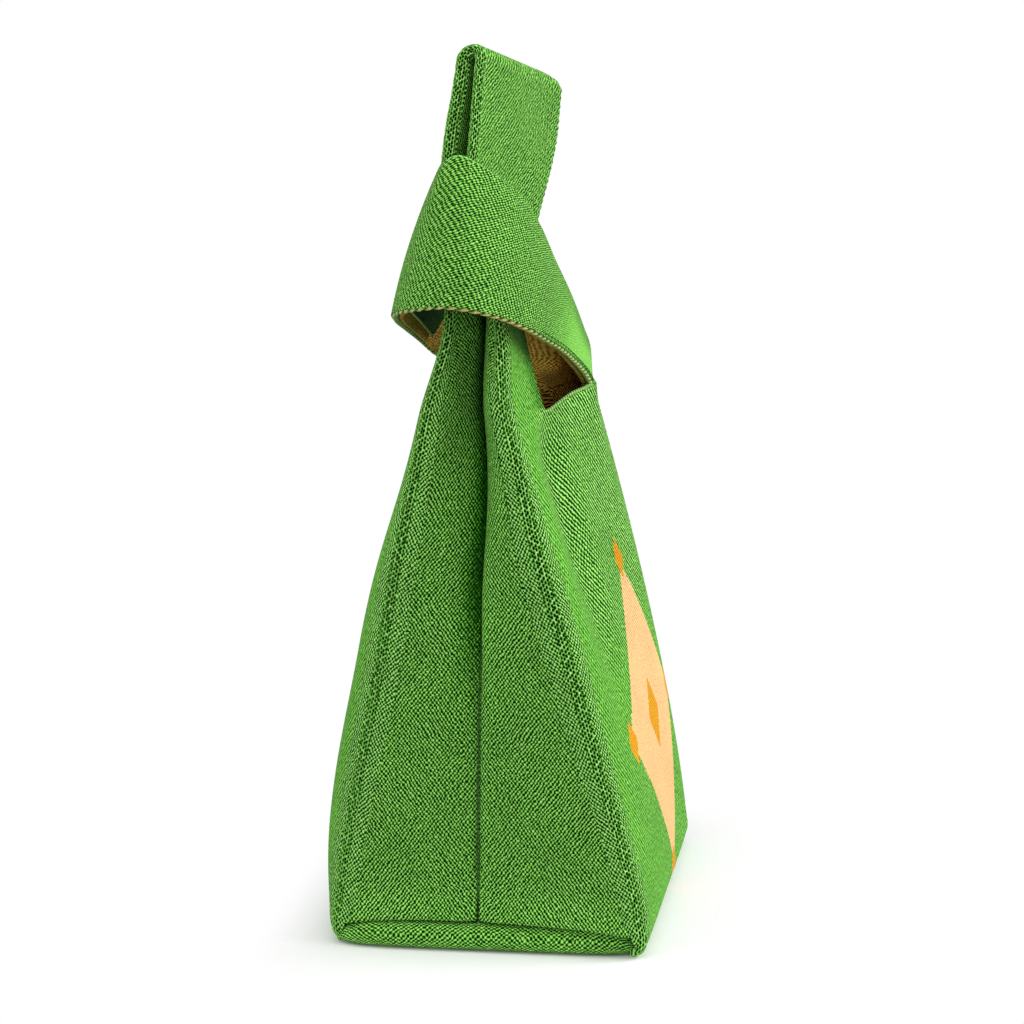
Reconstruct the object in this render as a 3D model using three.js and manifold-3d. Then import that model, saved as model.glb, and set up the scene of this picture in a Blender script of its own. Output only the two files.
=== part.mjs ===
// Knitted knot bag: a boxed body with folded gussets, whose long handle passes through its short one.
// Millimetres, +Z up. The origin is on the floor under the middle of the base, the front panel faces
// -Y, and the long handle rises from the left gusset, at -X.
import * as THREE from 'three';
import { mergeVertices } from 'three/addons/utils/BufferGeometryUtils.js';
import Module from 'manifold-3d';

// Body: sizes between the corner ridges, and how far its walls belly out and fold in
const BAG_WIDTH = 130;
const BAG_DEPTH = 100;
const NECK_HEIGHT = 174;
const NECK_WIDTH = BAG_WIDTH - 14;
const NECK_DEPTH = 28;
const FRONT_BELLY = 7;
const BACK_BELLY = 18;
const LEFT_SHIFT = 8.5;
const FOLD_DEPTH = 20;
const FOLD_AT_BASE = 1.5;
const VALLEY_SHIFT = 3.6;

// Cloth, and the round pieces along its edges
const KNIT = 2.4;
const LINING = 1.4;
const GAP = 0.3;
const WELT_RADIUS = 2.6;
const SEAM_RADIUS = 0.9;
const EDGE_RADIUS = 1.1;
const ROLL_HEIGHT = 8.4;
const ROLL_DEPTH = 5;

// Mouth: where the neckline ends, as fractions of the half width
const LONG_HANDLE_ROOT = -0.43;
const SHORT_HANDLE_ROOT = 0.46;
const TRIM_STOP = 13;

// Long handle: two plies beside a slit, turned, sloped and leaning above the knot
const HANDLE_WIDTH = 55;
const HANDLE_SLIT = 4.6;
const HANDLE_TURN = THREE.MathUtils.degToRad(16.2);
const HANDLE_SLOPE = THREE.MathUtils.degToRad(29.4);
const HANDLE_LEAN = THREE.MathUtils.degToRad(19.3);
const HANDLE_TILT = 0.05;
const NEAR_RISE = 34;
const FAR_RISE = 49;
const LOOP_NARROWING = 1.2;
const NECK_LENGTH = 22;
const HINGE_RADIUS = 8;
const HINGE_ABOVE_KNOT = 4.5;
const PLY = 2 * KNIT + GAP;
const PLY_MIDDLE = HANDLE_SLIT / 2 + PLY / 2;
const FOLDED_WIDTH = 0.55;

// Knot: its middle on the collar's rim, and the waist where the collar pinches the long handle
const KNOT = new THREE.Vector3(-NECK_WIDTH / 2 + 41, 5.4, NECK_HEIGHT + 69);
const WAIST = KNOT.clone().add(new THREE.Vector3(-13, -0.4, -40));
const WAIST_WIDTH = 0.75 * HANDLE_WIDTH;
const WAIST_TURN = THREE.MathUtils.degToRad(5);
const WAIST_RIDGE = 9.7;
const WAIST_FAR = 4.5;
const WAIST_VALLEY = 1.9;
const COLLAR_BULGE = 2;
const ROOT_GAP = 4 * GAP;
const COLLAR_WELT_RADIUS = 1.8;

const BASE_TOP = KNIT + GAP;
const ROLL_TOP = BASE_TOP + ROLL_HEIGHT + GAP;
const EDGE_CLEARANCE = WELT_RADIUS + GAP + 0.1;
const TRIM_CLEARANCE = EDGE_RADIUS + 3 * GAP;
const FRONT = -1;
const BACK = 1;
const LEFT = -1;
const RIGHT = 1;

const wasm = await Module();
wasm.setup();

const { lerp, smoothstep } = THREE.MathUtils;
const mix = (a, b, amount) => a.clone().lerp(b, amount);

// Closed solid between two grids of points that share their rows and columns
function solidBetween(outer, inner, columns, rows) {
  const stride = columns + 1;
  const inside = outer.length;
  const triangles = [];
  const quad = (a, b, c, d) => triangles.push(a, b, c, a, c, d);
  for (let row = 0; row < rows; row += 1) {
    for (let column = 0; column < columns; column += 1) {
      const a = row * stride + column;
      quad(a, a + 1, a + stride + 1, a + stride);
      quad(inside + a, inside + a + stride, inside + a + stride + 1, inside + a + 1);
    }
  }
  for (let column = 0; column < columns; column += 1) {
    const top = rows * stride + column;
    quad(column, inside + column, inside + column + 1, column + 1);
    quad(top, top + 1, inside + top + 1, inside + top);
  }
  for (let row = 0; row < rows; row += 1) {
    const a = row * stride;
    const b = a + columns;
    quad(a, a + stride, inside + a + stride, inside + a);
    quad(b, inside + b, inside + b + stride, b + stride);
  }
  const points = [...outer, ...inner];
  if (signedVolume(points, triangles) < 0) {
    triangles.reverse();
  }
  const geometry = new THREE.BufferGeometry().setFromPoints(points);
  geometry.setIndex(triangles);
  return geometry;
}

function signedVolume(points, triangles) {
  let volume = 0;
  for (let i = 0; i < triangles.length; i += 3) {
    const [a, b, c] = [points[triangles[i]], points[triangles[i + 1]], points[triangles[i + 2]]];
    volume += a.dot(b.clone().cross(c)) / 6;
  }
  return volume;
}

// Unit normal of surface(u, v), with u and v from 0 to 1
function normalOf(surface, u, v) {
  const step = 1e-3;
  const across = surface(Math.min(1, u + step), v).sub(surface(Math.max(0, u - step), v));
  const along = surface(u, Math.min(1, v + step)).sub(surface(u, Math.max(0, v - step)));
  return across.cross(along).normalize();
}

// Closed cloth sheet about its middle surface(u, v), moved off it along the normal by offset
function sheet(surface, columns, rows, wall, offset = 0) {
  const outer = [];
  const inner = [];
  for (let row = 0; row <= rows; row += 1) {
    for (let column = 0; column <= columns; column += 1) {
      const u = column / columns;
      const v = row / rows;
      const middle = surface(u, v);
      const normal = normalOf(surface, u, v);
      outer.push(middle.clone().addScaledVector(normal, offset + wall / 2));
      inner.push(middle.clone().addScaledVector(normal, offset - wall / 2));
    }
  }
  return solidBetween(outer, inner, columns, rows);
}

// Round cord through points
function cord(points, radius, steps, sides = 6) {
  const section = new THREE.Shape();
  for (let side = 0; side < sides; side += 1) {
    const angle = (2 * Math.PI * side) / sides;
    section[side === 0 ? 'moveTo' : 'lineTo'](radius * Math.cos(angle), radius * Math.sin(angle));
  }
  const extrudePath = new THREE.CatmullRomCurve3(points, false, 'centripetal');
  return new THREE.ExtrudeGeometry(section, { steps, extrudePath, curveSegments: 1 });
}

// Points of curve(s), s from start to end
function sample(curve, start, end, count) {
  return Array.from({ length: count + 1 }, (_, i) => curve(lerp(start, end, i / count)));
}

function toSolid(geometry) {
  const bare = geometry.clone();
  bare.deleteAttribute('normal');
  bare.deleteAttribute('uv');
  const merged = mergeVertices(bare, 1e-4);
  const vertProperties = new Float32Array(merged.attributes.position.array);
  const triVerts = new Uint32Array(merged.index.array);
  return new wasm.Manifold(new wasm.Mesh({ numProp: 3, vertProperties, triVerts }));
}

function toGeometry(solid) {
  const mesh = solid.getMesh();
  const geometry = new THREE.BufferGeometry();
  geometry.setAttribute('position', new THREE.BufferAttribute(mesh.vertProperties, 3));
  geometry.setIndex(new THREE.BufferAttribute(mesh.triVerts, 1));
  return geometry;
}

// Body surfaces: every level z is measured against the neckline
const level = (z) => z / NECK_HEIGHT;
const ridgeX = (z) => BAG_WIDTH / 2 - ((BAG_WIDTH - NECK_WIDTH) / 2) * level(z) ** 2;
const ridgeY = (z) => BAG_DEPTH / 2 - ((BAG_DEPTH - NECK_DEPTH) / 2) * level(z) ** 1.25;
const leftShift = (z) => (LEFT_SHIFT * Math.tanh(level(z) ** 3)) / Math.tanh(1);
const foldDepth = (z) => FOLD_AT_BASE + FOLD_DEPTH * level(z) ** 3;

function belly(side, z) {
  const below = 1 - Math.min(1, level(z));
  if (side === FRONT) {
    return FRONT_BELLY * (1 - below ** 4) * (1 - 0.3 * level(z) ** 3);
  }
  return BACK_BELLY * (1 - below ** 9) * (1 - 0.65 * level(z) ** 1.5);
}

// Front or back panel, across from -1 at the left ridge to 1 at the right one
function panel(side, across, z) {
  const shift = (leftShift(z) * (1 - across)) / 2;
  const y = shift + side * (ridgeY(z) + belly(side, z) * (1 - across ** 4));
  return new THREE.Vector3(across * ridgeX(z), y, z);
}

const ridge = (end, side, z) => panel(side, end, z);

function valley(end, z) {
  const y = end === LEFT ? VALLEY_SHIFT + (LEFT_SHIFT - VALLEY_SHIFT) * smoothstep(level(z), 0.75, 1.25) : 0;
  return new THREE.Vector3(end * (ridgeX(z) - foldDepth(z)), y, z);
}

// Half of a gusset, from its ridge at 0 to its valley at 1
const gusset = (end, side, across, z) => mix(ridge(end, side, z), valley(end, z), across);
const gussetEdge = (z) => SEAM_RADIUS + GAP + 1.3 * level(z) ** 3;

// Handle frame: along its width from the near to the far edge, out of its front, and up its length
const along = new THREE.Vector3(
  Math.cos(HANDLE_SLOPE) * Math.cos(HANDLE_TURN),
  -Math.cos(HANDLE_SLOPE) * Math.sin(HANDLE_TURN),
  -Math.sin(HANDLE_SLOPE),
);
const up = new THREE.Vector3(Math.sin(HANDLE_LEAN), -HANDLE_TILT, Math.cos(HANDLE_LEAN)).normalize();
const out = along.clone().cross(up).normalize();
const hinge = KNOT.clone().addScaledVector(up, HINGE_ABOVE_KNOT);

function handlePoint(distance, offset, height) {
  return hinge.clone().addScaledVector(along, distance).addScaledVector(out, offset).addScaledVector(up, height);
}

const waistAlong = new THREE.Vector3(Math.cos(WAIST_TURN), -Math.sin(WAIST_TURN), 0);
const waistOut = new THREE.Vector3(-Math.sin(WAIST_TURN), -Math.cos(WAIST_TURN), 0);

function waistPoint(distance, offset) {
  return WAIST.clone().addScaledVector(waistAlong, distance).addScaledVector(waistOut, offset);
}

// Smooth path from a root on the body through the waist to the neck of the handle
function strand(root, rootSlope, waist, neck, s) {
  const middle = 0.45;
  const through = neck.clone().sub(root);
  const [from, to, slopeFrom, slopeTo, span, start] =
    s < middle
      ? [root, waist, rootSlope.clone().multiplyScalar(through.length()), through, middle, 0]
      : [waist, neck, through, up.clone().multiplyScalar(through.length()), 1 - middle, middle];
  const t = (s - start) / span;
  const point = from.clone().multiplyScalar(2 * t ** 3 - 3 * t ** 2 + 1);
  point.addScaledVector(slopeFrom, span * (t ** 3 - 2 * t ** 2 + t));
  point.addScaledVector(to, 3 * t ** 2 - 2 * t ** 3);
  return point.addScaledVector(slopeTo, span * (t ** 3 - t ** 2));
}

function slopeOf(curve) {
  return curve(NECK_HEIGHT).sub(curve(NECK_HEIGHT - 1)).normalize();
}

const STEM_TOP = -NECK_LENGTH - GAP;

function stemRidge(side, s) {
  const root = (z) => ridge(LEFT, side, z);
  const waist = waistPoint(-WAIST_WIDTH / 2, -side * WAIST_RIDGE);
  const neck = handlePoint(-HANDLE_WIDTH / 2, -side * PLY_MIDDLE, STEM_TOP);
  return strand(root(NECK_HEIGHT), slopeOf(root), waist, neck, s);
}

// Outer cloth of the long handle's leg, from the near ridge at 0 to its far edge at 1
function leg(side, across, s) {
  const start = -1 + EDGE_CLEARANCE / ridgeX(NECK_HEIGHT);
  const root = (z) => panel(side, lerp(start, LONG_HANDLE_ROOT, across), z);
  const split = (KNIT + GAP) / 2;
  const waist = waistPoint(
    lerp(EDGE_CLEARANCE - WAIST_WIDTH / 2, WAIST_WIDTH / 2, across),
    -side * lerp(WAIST_RIDGE + split, WAIST_FAR + split, across),
  );
  const neck = handlePoint(
    lerp(EDGE_CLEARANCE - HANDLE_WIDTH / 2, HANDLE_WIDTH / 2 - EDGE_RADIUS - GAP, across),
    -side * (PLY_MIDDLE + split),
    STEM_TOP,
  );
  return strand(root(NECK_HEIGHT + GAP), slopeOf(root), waist, neck, s);
}

// Folded-in cloth of the left gusset inside the leg, from the near ridge at 0 to the valley at 1
function stemFold(side, across, s) {
  const root = (z) => trimmedGusset(LEFT, side, across, z);
  const split = (KNIT + GAP) / 2;
  const waist = waistPoint(
    lerp(EDGE_CLEARANCE - WAIST_WIDTH / 2, -0.07 * WAIST_WIDTH, across),
    -side * lerp(WAIST_RIDGE - split, WAIST_VALLEY, across),
  );
  const neck = handlePoint(
    EDGE_CLEARANCE + HANDLE_WIDTH * (FOLDED_WIDTH * across - 0.5),
    -side * (PLY_MIDDLE - split),
    STEM_TOP,
  );
  return strand(root(NECK_HEIGHT), slopeOf(root), waist, neck, s);
}

// Half gusset without the room that its ridge welt and its seam take
function trimmedGusset(end, side, across, z) {
  const width = ridge(end, side, z).distanceTo(valley(end, z));
  return gusset(end, side, lerp(EDGE_CLEARANCE / width, 1 - gussetEdge(z) / width, across), z);
}

// Colours, each part with a material of its own
const GREEN = '#5d9a48';
const DEEP_GREEN = '#4a7f37';
const GOLD = '#8f7a32';
const pieces = new THREE.Group();

function addPiece(name, geometry, color) {
  const material = new THREE.MeshStandardMaterial({ color, roughness: 0.95, metalness: 0 });
  const mesh = new THREE.Mesh(geometry, material);
  mesh.name = name;
  pieces.add(mesh);
}

const sideName = (side) => (side === FRONT ? 'front' : 'back');
const endName = (end) => (end === LEFT ? 'left' : 'right');

// Front and back panels, up to the neckline, and the lining behind each
function panelSheet(side, margin, bottom, top) {
  return (u, v) => {
    const z = lerp(bottom, top, v);
    const reach = 1 - margin / ridgeX(z);
    return panel(side, lerp(-reach, reach, u), z);
  };
}

const LINING_OFFSET = KNIT / 2 + 3 * GAP + LINING / 2;
const LINING_MARGIN = 7.5;
const LINING_TOP = NECK_HEIGHT - 6;
for (const side of [FRONT, BACK]) {
  const cloth = panelSheet(side, EDGE_CLEARANCE, BASE_TOP, NECK_HEIGHT);
  addPiece(`${sideName(side)}_panel`, sheet(cloth, 12, 11, KNIT), GREEN);
  const lining = panelSheet(side, LINING_MARGIN, BASE_TOP, LINING_TOP);
  addPiece(`${sideName(side)}_lining`, sheet(lining, 12, 8, LINING, side * LINING_OFFSET), GOLD);
}

// Gussets: the left halves run on into the long handle, the right ones stop at the armhole
const BODY_SHARE = 0.66;
for (const side of [FRONT, BACK]) {
  const left = (u, v) => {
    const body = Math.min(1, v / BODY_SHARE);
    if (v <= BODY_SHARE) {
      return trimmedGusset(LEFT, side, u, lerp(ROLL_TOP, NECK_HEIGHT, body));
    }
    return stemFold(side, u, (v - BODY_SHARE) / (1 - BODY_SHARE));
  };
  const right = (u, v) => trimmedGusset(RIGHT, side, u, lerp(ROLL_TOP, NECK_HEIGHT, v));
  addPiece(`left_gusset_${sideName(side)}`, sheet(left, 4, 24, KNIT), GREEN);
  addPiece(`right_gusset_${sideName(side)}`, sheet(right, 4, 12, KNIT), GREEN);
}

for (const end of [LEFT, RIGHT]) {
  const lining = (u, v) => {
    const z = lerp(ROLL_TOP, LINING_TOP, v);
    const side = u < 0.5 ? FRONT : BACK;
    const width = ridge(end, side, z).distanceTo(valley(end, z));
    const start = LINING_MARGIN / width;
    return gusset(end, side, lerp(start, 1, 1 - Math.abs(2 * u - 1)), z);
  };
  addPiece(`${endName(end)}_gusset_lining`, sheet(lining, 8, 9, LINING, -end * LINING_OFFSET), GOLD);
}

// Corner welts: the left pair runs on up the near edges of the long handle
for (const side of [FRONT, BACK]) {
  const left = [
    ...sample((z) => ridge(LEFT, side, z), BASE_TOP, NECK_HEIGHT, 8),
    ...sample((s) => stemRidge(side, s), 0.2, 0.97, 5),
  ];
  const right = sample((z) => ridge(RIGHT, side, z), BASE_TOP, NECK_HEIGHT - GAP, 8);
  addPiece(`corner_welt_${sideName(side)}_left`, cord(left, WELT_RADIUS, 24), DEEP_GREEN);
  addPiece(`corner_welt_${sideName(side)}_right`, cord(right, WELT_RADIUS, 14), DEEP_GREEN);
}

// Linked seams down the middle of the gussets
for (const end of [LEFT, RIGHT]) {
  const seam = sample((z) => valley(end, z), ROLL_TOP, NECK_HEIGHT, 8);
  addPiece(`${endName(end)}_gusset_seam`, cord(seam, SEAM_RADIUS, 14), DEEP_GREEN);
}

// Base: a flat panel, its lining, and the roll that closes each gusset
function slab(width, depth, thickness, radius) {
  const [x, y] = [width / 2, depth / 2];
  const outline = new THREE.Shape();
  outline.absarc(x - radius, y - radius, radius, 0, Math.PI / 2);
  outline.absarc(radius - x, y - radius, radius, Math.PI / 2, Math.PI);
  outline.absarc(radius - x, radius - y, radius, Math.PI, 1.5 * Math.PI);
  outline.absarc(x - radius, radius - y, radius, 1.5 * Math.PI, 2 * Math.PI);
  return new THREE.ExtrudeGeometry(outline, { depth: thickness, bevelEnabled: false, curveSegments: 4 });
}

const LINING_INSET = KNIT + 2 * LINING + 4 * GAP;
addPiece('base_panel', slab(BAG_WIDTH + KNIT, BAG_DEPTH, KNIT, 5), GREEN);
const baseLining = slab(BAG_WIDTH - 2 * LINING_INSET, BAG_DEPTH - 2 * LINING_INSET, LINING, 5);
addPiece('base_lining', baseLining.translate(0, 0, BASE_TOP), GOLD);

for (const end of [LEFT, RIGHT]) {
  const length = 2 * (ridgeY(ROLL_TOP) - EDGE_CLEARANCE);
  const section = new THREE.Shape();
  section.absellipse(0, 0, ROLL_DEPTH / 2, ROLL_HEIGHT / 2, 0, 2 * Math.PI);
  const roll = new THREE.ExtrudeGeometry(section, { depth: length, bevelEnabled: false, curveSegments: 6 });
  roll.translate(0, 0, -length / 2).rotateX(Math.PI / 2);
  const centre = end * (BAG_WIDTH / 2);
  addPiece(`${endName(end)}_base_roll`, roll.translate(centre, 0, BASE_TOP + ROLL_HEIGHT / 2), GREEN);
}

// Long handle's legs, fixed to the body, with the overcast edge of the mouth beside them
for (const side of [FRONT, BACK]) {
  const cloth = (u, v) => leg(side, u, v);
  addPiece(`long_handle_leg_${sideName(side)}`, sheet(cloth, 5, 10, KNIT), GREEN);
  const beside = (s) => {
    const edge = leg(side, 1, s);
    const outward = edge.clone().sub(leg(side, 0.95, s)).normalize();
    return edge.addScaledVector(outward, TRIM_CLEARANCE);
  };
  const neckline = (across) => panel(side, across, NECK_HEIGHT).add(new THREE.Vector3(0, 0, TRIM_CLEARANCE));
  const corner = LONG_HANDLE_ROOT + (2 * TRIM_CLEARANCE) / ridgeX(NECK_HEIGHT);
  const end = SHORT_HANDLE_ROOT - TRIM_STOP / ridgeX(NECK_HEIGHT);
  const route = [...sample(beside, 1, 0.12, 7), ...sample(neckline, corner, end, 5)];
  addPiece(`${sideName(side)}_mouth_edge`, cord(route, EDGE_RADIUS, 30, 5), GOLD);
}

// Right gusset's top edge, at the armhole
const armhole = [
  ...sample((across) => trimmedGusset(RIGHT, FRONT, across, NECK_HEIGHT), 0.25, 0.85, 4),
  ...sample((across) => trimmedGusset(RIGHT, BACK, across, NECK_HEIGHT), 0.85, 0.25, 4),
];
for (const point of armhole) {
  point.z += TRIM_CLEARANCE;
}
addPiece('right_armhole_edge', cord(armhole, EDGE_RADIUS, 16, 5), GOLD);

// Neck of the long handle: each ply ends in a hollow round the fold line
const upright = out.clone().cross(along).normalize();
const hingeFrame = new THREE.Matrix4().makeBasis(along, out.clone().negate(), upright).setPosition(hinge);
const BEYOND = 2 * HANDLE_WIDTH;

function foldCylinder(radius) {
  const cylinder = new THREE.CylinderGeometry(radius, radius, BEYOND, 40).rotateZ(Math.PI / 2);
  return toSolid(cylinder.applyMatrix4(hingeFrame));
}

for (const side of [FRONT, BACK]) {
  const ply = (u, v) =>
    handlePoint(HANDLE_WIDTH * (u - 0.5), -side * PLY_MIDDLE, lerp(-NECK_LENGTH, 0, v));
  const neck = toSolid(sheet(ply, 4, 2, PLY)).subtract(foldCylinder(HINGE_RADIUS + GAP));
  addPiece(`long_handle_neck_${sideName(side)}`, toGeometry(neck), GREEN);
}

// Loop of the long handle: a band over the top, above the fold line or round inside its hollow
const OUTER_HALF = HANDLE_SLIT / 2 + PLY;
const TOP_RADIUS = OUTER_HALF - LOOP_NARROWING;
const LEG_SHARE = 0.38;

// Path over the top, inset from the band's outer face, with across from the near edge to the far one
function loopPath(distance, inset, over) {
  const across = distance / HANDLE_WIDTH + 0.5;
  const spring = lerp(NEAR_RISE, FAR_RISE, across) - TOP_RADIUS;
  const side = over < 0.5 ? 1 : -1;
  const climb = Math.min(1, Math.min(over, 1 - over) / LEG_SHARE);
  if (climb < 1) {
    const half = lerp(OUTER_HALF, TOP_RADIUS, smoothstep(climb, 0.2, 1)) - inset;
    return handlePoint(distance, side * half, lerp(-HINGE_RADIUS, spring, climb));
  }
  const angle = (Math.PI * (over - LEG_SHARE)) / (1 - 2 * LEG_SHARE);
  const radius = TOP_RADIUS - inset;
  return handlePoint(distance, radius * Math.cos(angle), spring + radius * Math.sin(angle));
}

const BAND_NEAR = EDGE_CLEARANCE - HANDLE_WIDTH / 2;
const BAND_FAR = HANDLE_WIDTH / 2 - EDGE_RADIUS - GAP;
const LOOP_ROWS = 26;
const LOOP_COLUMNS = 4;

function loopFace(inset) {
  const points = [];
  for (let row = 0; row <= LOOP_ROWS; row += 1) {
    for (let column = 0; column <= LOOP_COLUMNS; column += 1) {
      const distance = lerp(BAND_NEAR, BAND_FAR, column / LOOP_COLUMNS);
      points.push(loopPath(distance, inset, row / LOOP_ROWS));
    }
  }
  return points;
}

const above = new THREE.BoxGeometry(BEYOND, BEYOND, BEYOND).translate(0, 0, BEYOND / 2);
const kept = toSolid(above.applyMatrix4(hingeFrame)).add(foldCylinder(HINGE_RADIUS));
const band = toSolid(solidBetween(loopFace(0), loopFace(PLY), LOOP_COLUMNS, LOOP_ROWS)).intersect(kept);
addPiece('long_handle_band', toGeometry(band), GREEN);

const LOOP_START = (LEG_SHARE * 0.7 * HINGE_RADIUS) / (HINGE_RADIUS + NEAR_RISE - TOP_RADIUS);
const nearRoute = sample(
  (over) => loopPath(-HANDLE_WIDTH / 2, PLY / 2, over), LOOP_START, 1 - LOOP_START, 24,
);
addPiece('long_handle_near_edge', cord(nearRoute, WELT_RADIUS, 30), DEEP_GREEN);
const farRoute = sample(
  (over) => loopPath(HANDLE_WIDTH / 2, PLY / 2, over), LOOP_START, 1 - LOOP_START, 24,
);
addPiece('long_handle_far_edge', cord(farRoute, EDGE_RADIUS, 30, 5), GOLD);

// Short handle: a collar from the front panel round the near side of the knot to the back panel.
// Its edges go through points beside the knot, across as fractions of the long handle's width.
const aroundKnot = (across, y, z) =>
  KNOT.clone().add(new THREE.Vector3(across * HANDLE_WIDTH, y, z));
const lowerRoot = (side) => panel(side, SHORT_HANDLE_ROOT, NECK_HEIGHT).setZ(NECK_HEIGHT + ROOT_GAP);
const upperRoot = (side) => ridge(RIGHT, side, NECK_HEIGHT).setZ(NECK_HEIGHT + ROOT_GAP);
const lowerEdge = new THREE.CatmullRomCurve3([
  lowerRoot(FRONT),
  aroundKnot(0.56, -25, -64),
  aroundKnot(0.27, -23.5, -59),
  aroundKnot(-0.02, -22, -53.5),
  aroundKnot(-0.31, -19.3, -47.7),
  aroundKnot(-0.6, -15.3, -42),
  aroundKnot(-0.8, -9.5, -37.5),
  aroundKnot(-0.95, -2, -34),
  aroundKnot(-0.98, 6.5, -32),
  aroundKnot(-0.89, 16.5, -31.8),
  aroundKnot(-0.69, 25.5, -31.7),
  aroundKnot(-0.42, 30, -34),
  aroundKnot(-0.05, 30.5, -41.5),
  aroundKnot(0.35, 29, -50.5),
  aroundKnot(0.63, 25.5, -59),
  lowerRoot(BACK),
]);
const upperEdge = new THREE.CatmullRomCurve3([
  upperRoot(FRONT),
  aroundKnot(1.32, -20.7, -61),
  aroundKnot(1, -20, -50),
  aroundKnot(0.6, -18, -36),
  aroundKnot(0.21, -17, -22),
  aroundKnot(-0.07, -16, -9.5),
  aroundKnot(-0.35, -10, 3.5),
  aroundKnot(-0.58, -3.5, 11.5),
  aroundKnot(-0.72, 4, 16),
  aroundKnot(-0.72, 8.5, 14),
  aroundKnot(-0.58, 15, 9.5),
  aroundKnot(-0.28, 19, 0.5),
  aroundKnot(0.12, 17.5, -12.5),
  aroundKnot(0.56, 14, -29),
  aroundKnot(1, 11, -49),
  upperRoot(BACK),
]);

// Collar cloth, round from the front root at 0 to the back one at 1, and up from its lower edge
function collar(round, height) {
  const low = lowerEdge.getPoint(round);
  const high = upperEdge.getPoint(round);
  const width = low.distanceTo(high);
  const rule = high.clone().sub(low).normalize();
  const room = (edge, radius) => (radius + 2 * GAP) / (width * rule.clone().cross(edge.getTangent(round)).length());
  const share = lerp(room(lowerEdge, EDGE_RADIUS), 1 - room(upperEdge, COLLAR_WELT_RADIUS), height);
  const bulge = COLLAR_BULGE * 4 * share * (1 - share) * Math.sin(Math.PI * round);
  const step = 0.01;
  const ahead = lowerEdge.getPoint(Math.min(1, round + step));
  const behind = lowerEdge.getPoint(Math.max(0, round - step));
  const outward = high.clone().sub(low).cross(ahead.sub(behind)).normalize();
  return mix(low, high, share).addScaledVector(outward, bulge);
}

addPiece('short_handle', sheet((u, v) => collar(u, v), 30, 4, KNIT), GREEN);
const inward = (LINING + KNIT) / 2 + 2 * GAP;
addPiece('short_handle_lining', sheet((u, v) => collar(u, v), 30, 3, LINING, inward), GOLD);
addPiece('short_handle_lower_edge', cord(lowerEdge.points, EDGE_RADIUS, 40, 5), GOLD);
addPiece('short_handle_upper_edge', cord(upperEdge.points, COLLAR_WELT_RADIUS, 40), DEEP_GREEN);

export default pieces;
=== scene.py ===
"""Knitted knot bag: a boxed body with folded gussets, its long handle drawn through its short one.

The row frame: metres, +Z up, the origin under the middle of the base, the front panel towards -Y
and the long handle on the left, at -X. The bag's sizes are in millimetres until a mesh is made; the
camera, the lamps and the floor are in metres.
"""

import math

import bpy
import numpy as np
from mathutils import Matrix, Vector


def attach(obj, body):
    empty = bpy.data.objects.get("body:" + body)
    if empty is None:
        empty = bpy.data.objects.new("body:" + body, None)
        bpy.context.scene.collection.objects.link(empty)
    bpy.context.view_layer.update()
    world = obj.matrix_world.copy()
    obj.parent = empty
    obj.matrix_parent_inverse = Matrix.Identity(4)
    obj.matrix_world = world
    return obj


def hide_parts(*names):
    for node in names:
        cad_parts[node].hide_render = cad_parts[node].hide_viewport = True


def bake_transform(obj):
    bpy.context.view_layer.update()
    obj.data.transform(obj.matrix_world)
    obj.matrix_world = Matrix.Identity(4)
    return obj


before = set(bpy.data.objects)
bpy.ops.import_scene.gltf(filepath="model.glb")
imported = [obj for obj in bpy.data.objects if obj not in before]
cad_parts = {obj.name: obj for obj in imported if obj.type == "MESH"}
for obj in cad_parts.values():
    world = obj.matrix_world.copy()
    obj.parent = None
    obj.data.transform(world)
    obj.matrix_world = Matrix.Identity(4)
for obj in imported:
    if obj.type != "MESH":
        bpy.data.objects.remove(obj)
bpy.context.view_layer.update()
scene = bpy.context.scene
scene.view_settings.view_transform = "Standard"

# Camera: a long lens a little above the bag, which looks down at the left gusset, with the front
# panel in a narrow strip beside it.
SENSOR_WIDTH = 36.0
LENS = 107.23
CAMERA_PLACE = (-1.0049, -0.1649, 0.3318)
DEGREES_DOWN = 11
DEGREES_ROUND = 80.5
camera_data = bpy.data.cameras.new("camera")
camera_data.sensor_width = SENSOR_WIDTH
camera_data.lens = LENS
camera = bpy.data.objects.new("camera", camera_data)
camera.location = CAMERA_PLACE
camera.rotation_euler = (math.radians(90 - DEGREES_DOWN), 0.0, math.radians(-DEGREES_ROUND))
scene.collection.objects.link(camera)
scene.camera = camera


# Studio: large soft boxes to the front, to the back, above and beside the camera, a white surround,
# and a pale floor that fades into the surround and keeps the bag's soft shadow.
def add_node(tree, kind, inputs=None, **settings):
    """Adds a shader node, sets its properties, and gives each named input a value or a link."""
    node = tree.nodes.new(kind)
    for key, value in settings.items():
        setattr(node, key, value)
    for key, value in (inputs or {}).items():
        if isinstance(value, bpy.types.NodeSocket):
            tree.links.new(value, node.inputs[key])
        else:
            node.inputs[key].default_value = value
    return node


def maths(tree, operation, *values):
    """One Math node on numbers or sockets, as a socket."""
    return add_node(tree, "ShaderNodeMath", dict(enumerate(values)), operation=operation).outputs[0]


def vector_maths(tree, operation, *values):
    """One Vector Math node on vectors or sockets, as a socket."""
    made = add_node(tree, "ShaderNodeVectorMath", dict(enumerate(values)), operation=operation)
    return made.outputs[0]


def clean_tree(owner):
    """The emptied node tree of a material or of the world."""
    owner.use_nodes = True
    owner.node_tree.nodes.clear()
    return owner.node_tree


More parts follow.
